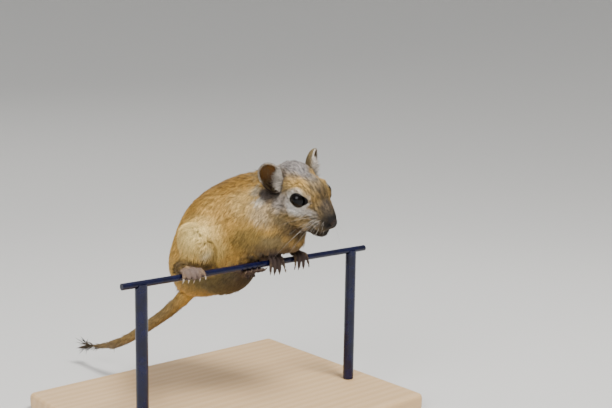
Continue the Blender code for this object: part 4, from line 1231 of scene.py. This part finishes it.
# %% [markdown]
# Hair of the ears. It is short behind the ear and sparse inside it, with a pale fringe on
# the rim but for its lower rear, and a fluffy tuft at the front edge. Where each of these
# grows is worked out from the place in the ear's own frame, once for the triangles, to
# strew the tufts, and once for the roots.
# %% Ear hair
EAR_HAIR, EAR_FRINGE = (np.array(linear(c)) for c in ("#857350", "#CFC4B6"))
EAR_TUFTS = 6500
INNER_DENSITY, RIM_DENSITY, TUFT_DENSITY = 0.14, 0.8, 5
SHORT_HAIR, RIM_HAIR, TUFT_LONGER = 1.3, 0.7, 2.6
EAR_RISE, RIM_RISE = 0.22, 0.2          # share of the length by which hair stands off
DARK_HAIRS, DARK_HAIR = 0.35, 0.45      # share of the tufts, and their lightness
INNER_DARKER, EAR_TIP_PALER = 0.35, 1.1
EAR_BLADE_WIDE, EAR_BLADE_WIDER = 0.10, 0.035


def ear_places(points, ups, side):
    """Places in the ear's frame, and how much each is inside, rim, front tuft and fringe."""
    local, way_in = in_ear(points, ups, side)
    _, axes, half_length = ear_frame(side)
    nose_side = 1 if axes.col[1].dot(HEAD_AXES.col[0]) > 0 else -1
    forward = local[:, 1] * nose_side / (EAR_WIDTH / 2)
    low = -local[:, 2] / half_length
    rim = smooth((local[:, 0] + 0.5) / 0.5)
    front_tuft = rim * smooth((forward - 0.1) / 0.5) * smooth((low + 0.6) / 0.7)
    fringed = 1 - smooth((low + 0.1) / 0.3) * smooth(0.5 - forward * 1.5)
    return local, smooth(way_in * 2), rim, front_tuft, fringed


def ear_coat(name, ear, side, seed):
    """The hair of one ear as a piece of its own."""
    draw = np.random.default_rng(seed)
    points, ups, corners = mesh_arrays(ear.data)
    _, axes, half_length = ear_frame(side)
    nose_side = 1 if axes.col[1].dot(HEAD_AXES.col[0]) > 0 else -1
    middles, size = middles_and_sizes(points, corners)
    _, inner, rim, front_tuft, fringed = ear_places(middles, ups[corners].mean(1), side)
    density = ((1 - inner) * 1.0 + inner * INNER_DENSITY + rim * RIM_DENSITY * fringed
               + front_tuft * TUFT_DENSITY)
    roots, ups, uv = strewn(points, ups, corners, size * density, EAR_TUFTS, draw)
    local, inner, rim, front_tuft, fringed = ear_places(roots, ups, side)
    opening, across, rise_way = (np.array(axes.col[i]) for i in range(3))
    outward = across * local[:, 1:2] / EAR_WIDTH + rise_way * local[:, 2:3] / half_length
    ways = rise_way + outward * 0.8 + draw.normal(0, 0.2, (EAR_TUFTS, 3))
    fluff = rise_way * 0.8 - across * nose_side * 0.9 + opening * 0.5
    fluff = fluff + draw.normal(0, 0.35, (EAR_TUFTS, 3))
    ways = ways * (1 - front_tuft[:, None]) + fluff * front_tuft[:, None]
    ways = unit(ways - ups * (ways * ups).sum(1)[:, None] * (1 - front_tuft[:, None]))
    length = SHORT_HAIR + (RIM_HAIR - SHORT_HAIR) * rim + TUFT_LONGER * front_tuft
    length = length * draw.uniform(0.7, 1.2, EAR_TUFTS)
    rise = length * (EAR_RISE + RIM_RISE * rim) * draw.uniform(0.5, 1.2, EAR_TUFTS)
    colour = EAR_HAIR + (EAR_FRINGE - EAR_HAIR) * np.maximum(rim * fringed, front_tuft)[:, None]
    # painted shade on the hair of the rim's lower rear
    colour = colour + (EAR_PAINTED_SHADE - colour) * (rim * (1 - fringed))[:, None]
    colour = colour * (1 - INNER_DARKER * inner * (1 - rim))[:, None]
    shade = np.where(draw.random(EAR_TUFTS) < DARK_HAIRS, DARK_HAIR, 1.0)
    colour = colour * (shade * draw.uniform(0.75, 1.15, EAR_TUFTS))[:, None]
    width = EAR_BLADE_WIDE + EAR_BLADE_WIDER * length
    mesh = tufts(name, roots, ups, ways, length, rise, width, colour, colour * EAR_TIP_PALER,
                 uv, seed + 1)
    piece = show(name, mesh, coat_finish)
    return piece


for name, side in (("right", -1), ("left", 1)):
    ear = build_ear(name, side)
    hair = ear_coat("coat_ear_" + name, ear, side, seed=400 + side)
    print(ear.name, len(ear.data.polygons), "faces,", hair.name, len(hair.data.polygons), "triangles")

# %% [markdown]
# Whiskers. Long, stiff, pale hairs in rows on both sides of the snout, that sweep out and
# back in a shallow arc. Each is a tapered tube, under a tenth of a millimetre thick at its
# root as a real one is, so only those that catch the light show at this size.
# %% Whiskers
whisker_material, _, shader = principled("pale_whisker", Roughness=0.3, IOR=1.55)
shader.inputs["Base Color"].default_value = (*linear("#D5CEC2"), 1.0)
WHISKER_ROWS = 4
WHISKERS_IN_ROW = 4
WHISKER_RADIUS, WHISKER_TAPER = 0.036, 0.8
WHISKER_STEPS, WHISKER_SIDES = 8, 5
FRONT_WHISKER, BACK_LONGER = 3.5, 16    # lengths in mm


def add_whisker(bm, root, way, droop, length):
    points = []
    for step in range(WHISKER_STEPS + 1):
        t = step / WHISKER_STEPS
        spot = root + way * length * t + droop * length * t * t
        points.append((*spot, WHISKER_RADIUS * (1 - WHISKER_TAPER * t)))
    add_tube(bm, points, WHISKER_SIDES)


bm = bmesh.new()
draw = random.Random(12)
for side in (1, -1):
    for row in range(WHISKER_ROWS):
        for number in range(WHISKERS_IN_ROW):
            back = number / (WHISKERS_IN_ROW - 1)
            low = row / (WHISKER_ROWS - 1)
            root = in_head(24.0 - 5.0 * back, 3.1 + 1.7 * back - 0.5 * low, -5.0 - 2.8 * low, side)
            way = head_way(0.45 - 0.6 * back + draw.uniform(-0.2, 0.2), 0.75,
                           0.1 - 0.8 * low + draw.uniform(-0.3, 0.2), side)
            droop = head_way(-0.1, 0, -0.9, side) * draw.uniform(0.15, 0.6)
            length = FRONT_WHISKER + BACK_LONGER * back * draw.uniform(0.6, 1.1)
            add_whisker(bm, root, way, droop, length)
bmesh.ops.recalc_face_normals(bm, faces=bm.faces)
whiskers = show("whiskers", smooth_mesh(bm, "whiskers"), whisker_material)
print("whiskers:", 2 * WHISKER_ROWS * WHISKERS_IN_ROW)

# %% [markdown]
# Claws. Every toe bends over the wire and ends in a short, curved claw of horn, pale on the
# right hind foot and brown on the others. The toe tips are those that the skin was cleared
# from: found from the ball of the foot, the spread of its toes and the angle at which each
# leaves the wire. A claw is a tapered tube bent in.
# %% Claws
CLAW_ROOT, CLAW_POINT = 0.42, 0.04      # share of the toe's radius, and radius in mm
CLAW_BEND = 0.6
CLAW_IN, CLAW_LONGER = 0.2, 0.3         # share of the radius ahead of the tip, and mm
CLAW_TAPER = 1.3
CLAW_STEPS, CLAW_SIDES = 6, 10
HORN_CLOUD = 0.8


def horn_finish(name, dark, pale):
    material, tree, shader = principled(name, Roughness=0.32, IOR=1.54)
    place = add(tree, "ShaderNodeTexCoord")
    cloud = add(tree, "ShaderNodeTexNoise", {"Vector": place.outputs["Object"],
                                             "Scale": 1 / (HORN_CLOUD * MM), "Detail": 2.0})
    ramp = add(tree, "ShaderNodeValToRGB", {"Fac": cloud.outputs["Fac"]})
    ramp_stops(ramp, [(0.3, dark), (0.7, pale)])
    tree.links.new(ramp.outputs["Color"], shader.inputs["Base Color"])
    return material


def add_claw(bm, tip, onward, radius, claw):
    """One claw: a thin tapered tube that starts inside the toe and bends in."""
    inward = Vector((0, -tip.y, -tip.z)).normalized()
    points = []
    for step in range(CLAW_STEPS + 1):
        t = step / CLAW_STEPS
        spot = tip + onward * (radius * CLAW_IN + (claw + CLAW_LONGER) * t) + inward * CLAW_BEND * t * t
        thick = (radius * CLAW_ROOT - CLAW_POINT) * (1 - t ** CLAW_TAPER) + CLAW_POINT
        points.append((*spot, thick))
    add_tube(bm, points, CLAW_SIDES)


pale_horn = horn_finish("pale_horn_claw", "#A3917F", "#D2C4B2")
brown_horn = horn_finish("brown_horn_claw", "#4A3A30", "#6E5B4C")
for name in FEET:
    bm = bmesh.new()
    for tip, onward, radius, claw in toe_ends(name):
        add_claw(bm, tip + Vector((FOOT_ASIDE.get(name, 0), 0, 0)), onward, radius, claw)
    bmesh.ops.recalc_face_normals(bm, faces=bm.faces)
    horn = pale_horn if name == "hindfoot_right" else brown_horn
    claws = show("claws_" + name, smooth_mesh(bm, "claws_" + name), horn)
    print(claws.name, FEET[name][1], "claws")

# %% [markdown]
# Stand and wire. The wire keeps its solid: a drawn steel wire dipped in dark blue enamel,
# a little uneven in gloss. The rods wear the same enamel and the base is pale sanded
# beech, whose growth rings and short dark flecks run along its length.
# %% Enamel and wood
ENAMEL_CLOUD = 4
RING_WIDTH, FLECK_WIDTH = 16, 0.6
ALONG_GRAIN = (0.08, 1.0, 1.0)          # draws the pattern out along the base


def enamel_finish():
    material, tree, shader = principled("navy_dipped_enamel", Roughness=0.25, IOR=1.5)
    shader.inputs["Coat Weight"].default_value = 0.15
    shader.inputs["Specular IOR Level"].default_value = 0.3
    shader.inputs["Coat Roughness"].default_value = 0.1
    place = add(tree, "ShaderNodeTexCoord")
    cloud = add(tree, "ShaderNodeTexNoise", {"Vector": place.outputs["Object"],
                                             "Scale": 1 / (ENAMEL_CLOUD * MM), "Detail": 4.0})
    ramp = add(tree, "ShaderNodeValToRGB", {"Fac": cloud.outputs["Fac"]})
    ramp_stops(ramp, [(0.3, "#05061E"), (0.7, "#080C34")])
    relief = add(tree, "ShaderNodeBump", {"Height": cloud.outputs["Fac"], "Strength": 0.25,
                                          "Distance": 0.15 * MM})
    tree.links.new(ramp.outputs["Color"], shader.inputs["Base Color"])
    tree.links.new(relief.outputs["Normal"], shader.inputs["Normal"])
    return material


def beech_finish():
    material, tree, shader = principled("sanded_beech", Roughness=0.5, IOR=1.5)
    place = add(tree, "ShaderNodeTexCoord")
    stretch = add(tree, "ShaderNodeMapping", {"Vector": place.outputs["Object"],
                                              "Scale": ALONG_GRAIN})
    rings = add(tree, "ShaderNodeTexWave", {"Vector": stretch.outputs["Vector"],
                                            "Scale": 1 / (RING_WIDTH * MM), "Distortion": 5.0,
                                            "Detail": 3.0, "Detail Scale": 1.2},
                bands_direction="Y")
    flecks = add(tree, "ShaderNodeTexNoise", {"Vector": stretch.outputs["Vector"],
                                              "Scale": 1 / (FLECK_WIDTH * MM), "Detail": 2.0})
    both = add(tree, "ShaderNodeMath", {0: rings.outputs["Fac"], 1: flecks.outputs["Fac"]},
               operation="MULTIPLY")
    ramp = add(tree, "ShaderNodeValToRGB", {"Fac": both.outputs["Value"]})
    ramp_stops(ramp, [(0.0, "#CFAA7B"), (0.5, "#D6B487"), (1.0, "#DCBD93")])
    relief = add(tree, "ShaderNodeBump", {"Height": flecks.outputs["Fac"], "Strength": 0.15,
                                          "Distance": 0.05 * MM})
    tree.links.new(ramp.outputs["Color"], shader.inputs["Base Color"])
    tree.links.new(relief.outputs["Normal"], shader.inputs["Normal"])
    return material


enamel, beech = enamel_finish(), beech_finish()
for name in ("perch_wire", "stand_rod_left", "stand_rod_right", "stand_base"):
    slots = nodes[name].material_slots
    for slot in slots:
        slot.material = beech if name == "stand_base" else enamel
    print(name, "wears", slots[0].material.name)

# %% [markdown]
# Floor. A plain pale disc, big enough for every shadow, that curves up into a backdrop on
# every side. Its outline is drawn once, as a straight line and an arc, and spun round.
# %% Floor
FLOOR_RADIUS = 0.5
SWEEP_RADIUS = 2.6
SWEEP_TO = 60
SWEEP_STEPS, SPIN_STEPS = 32, 64
MERGE_FLOOR = 1e-5
bm = bmesh.new()
profile = [(0.0, 0.0), (FLOOR_RADIUS, 0.0)]
for step in range(1, SWEEP_STEPS + 1):
    angle = math.radians(SWEEP_TO * step / SWEEP_STEPS)
    out = FLOOR_RADIUS + SWEEP_RADIUS * math.sin(angle)
    profile.append((out, SWEEP_RADIUS * (1 - math.cos(angle))))
line = [bm.verts.new((x, 0.0, z)) for x, z in profile]
edges = [bm.edges.new(pair) for pair in zip(line, line[1:])]
bmesh.ops.spin(bm, geom=line + edges, cent=(0, 0, 0), axis=(0, 0, 1), angle=math.tau,
               steps=SPIN_STEPS, use_merge=True)
bmesh.ops.remove_doubles(bm, verts=bm.verts, dist=MERGE_FLOOR)
bmesh.ops.recalc_face_normals(bm, faces=bm.faces)
if sum(f.normal.z for f in bm.faces) < 0:
    bmesh.ops.reverse_faces(bm, faces=bm.faces)
floor_mesh = smooth_mesh(bm, "floor")
floor = bpy.data.objects.new("floor", floor_mesh)
bpy.context.scene.collection.objects.link(floor)
floor_material, _, shader = principled("pale_studio_floor", Roughness=0.85)
shader.inputs["Base Color"].default_value = (*linear("#DAD8D3"), 1.0)
floor_mesh.materials.append(floor_material)
print("floor and backdrop:", len(floor_mesh.polygons), "faces")

# %% [markdown]
# Lamps. One soft lamp stands high above the head and gives the eye its highlight, a weak
# one at the side opens the shadows, a weaker one behind lights the edge of the coat, and
# the sky is even and pale. Each lamp is placed from the near eye and looks at the shoulder.
# %% Lamps and sky
LAMPS_LOOK_AT = (38, 10, 15)


def lamp(name, place, watts, size):
    """A square soft lamp that looks at the animal's shoulder."""
    data = bpy.data.lights.new(name, "AREA")
    data.energy = watts
    data.size = size
    item = bpy.data.objects.new(name, data)
    item.location = place
    item.rotation_euler = (placed(LAMPS_LOOK_AT) - place).to_track_quat("-Z", "Y").to_euler()
    bpy.context.scene.collection.objects.link(item)


EYE_NEAR = placed(in_head(*EYE_AT, -1))
lamp("key", EYE_NEAR + Vector((0.038, -0.422, 0.897)) * 0.95, 14.0, 0.28)
lamp("fill", EYE_NEAR + Vector((-0.85, -0.25, 0.5)), 7.0, 0.6)
lamp("back", EYE_NEAR + Vector((0.2, 0.9, 0.6)), 1.5, 0.6)
world = bpy.data.worlds.new("pale_studio")
world.use_nodes = True
sky = world.node_tree.nodes["Background"].inputs
sky["Color"].default_value = (0.86, 0.88, 0.92, 1.0)
sky["Strength"].default_value = 0.45
bpy.context.scene.world = world
print("lamps:", [(data.name, data.energy) for data in bpy.data.lights])

# %% [markdown]
# Camera. It stands where the photographer stood: to the animal's right and in front, a
# little above the wire. Its place and its three axes are in the perch frame.
# %% Camera
EYE_POINT = (-208.67, -306.59, 84.41)
LENS = 54.12
RIGHT, UPWARD = (0.7537, -0.657, 0.015), (0.0847, 0.1197, 0.9892)
BACK = (-0.6517, -0.7443, 0.1458)
view = bpy.data.cameras.new("photo_view")
view.lens = LENS
view.sensor_width = 36.0
view.clip_start = 0.01
camera = bpy.data.objects.new("photo_view", view)
turn = Matrix((RIGHT, UPWARD, BACK)).transposed().to_4x4()
camera.matrix_world = Matrix.Translation(placed(EYE_POINT)) @ turn
bpy.context.scene.collection.objects.link(camera)
bpy.context.scene.camera = camera
print("camera at", [round(v, 3) for v in camera.location])
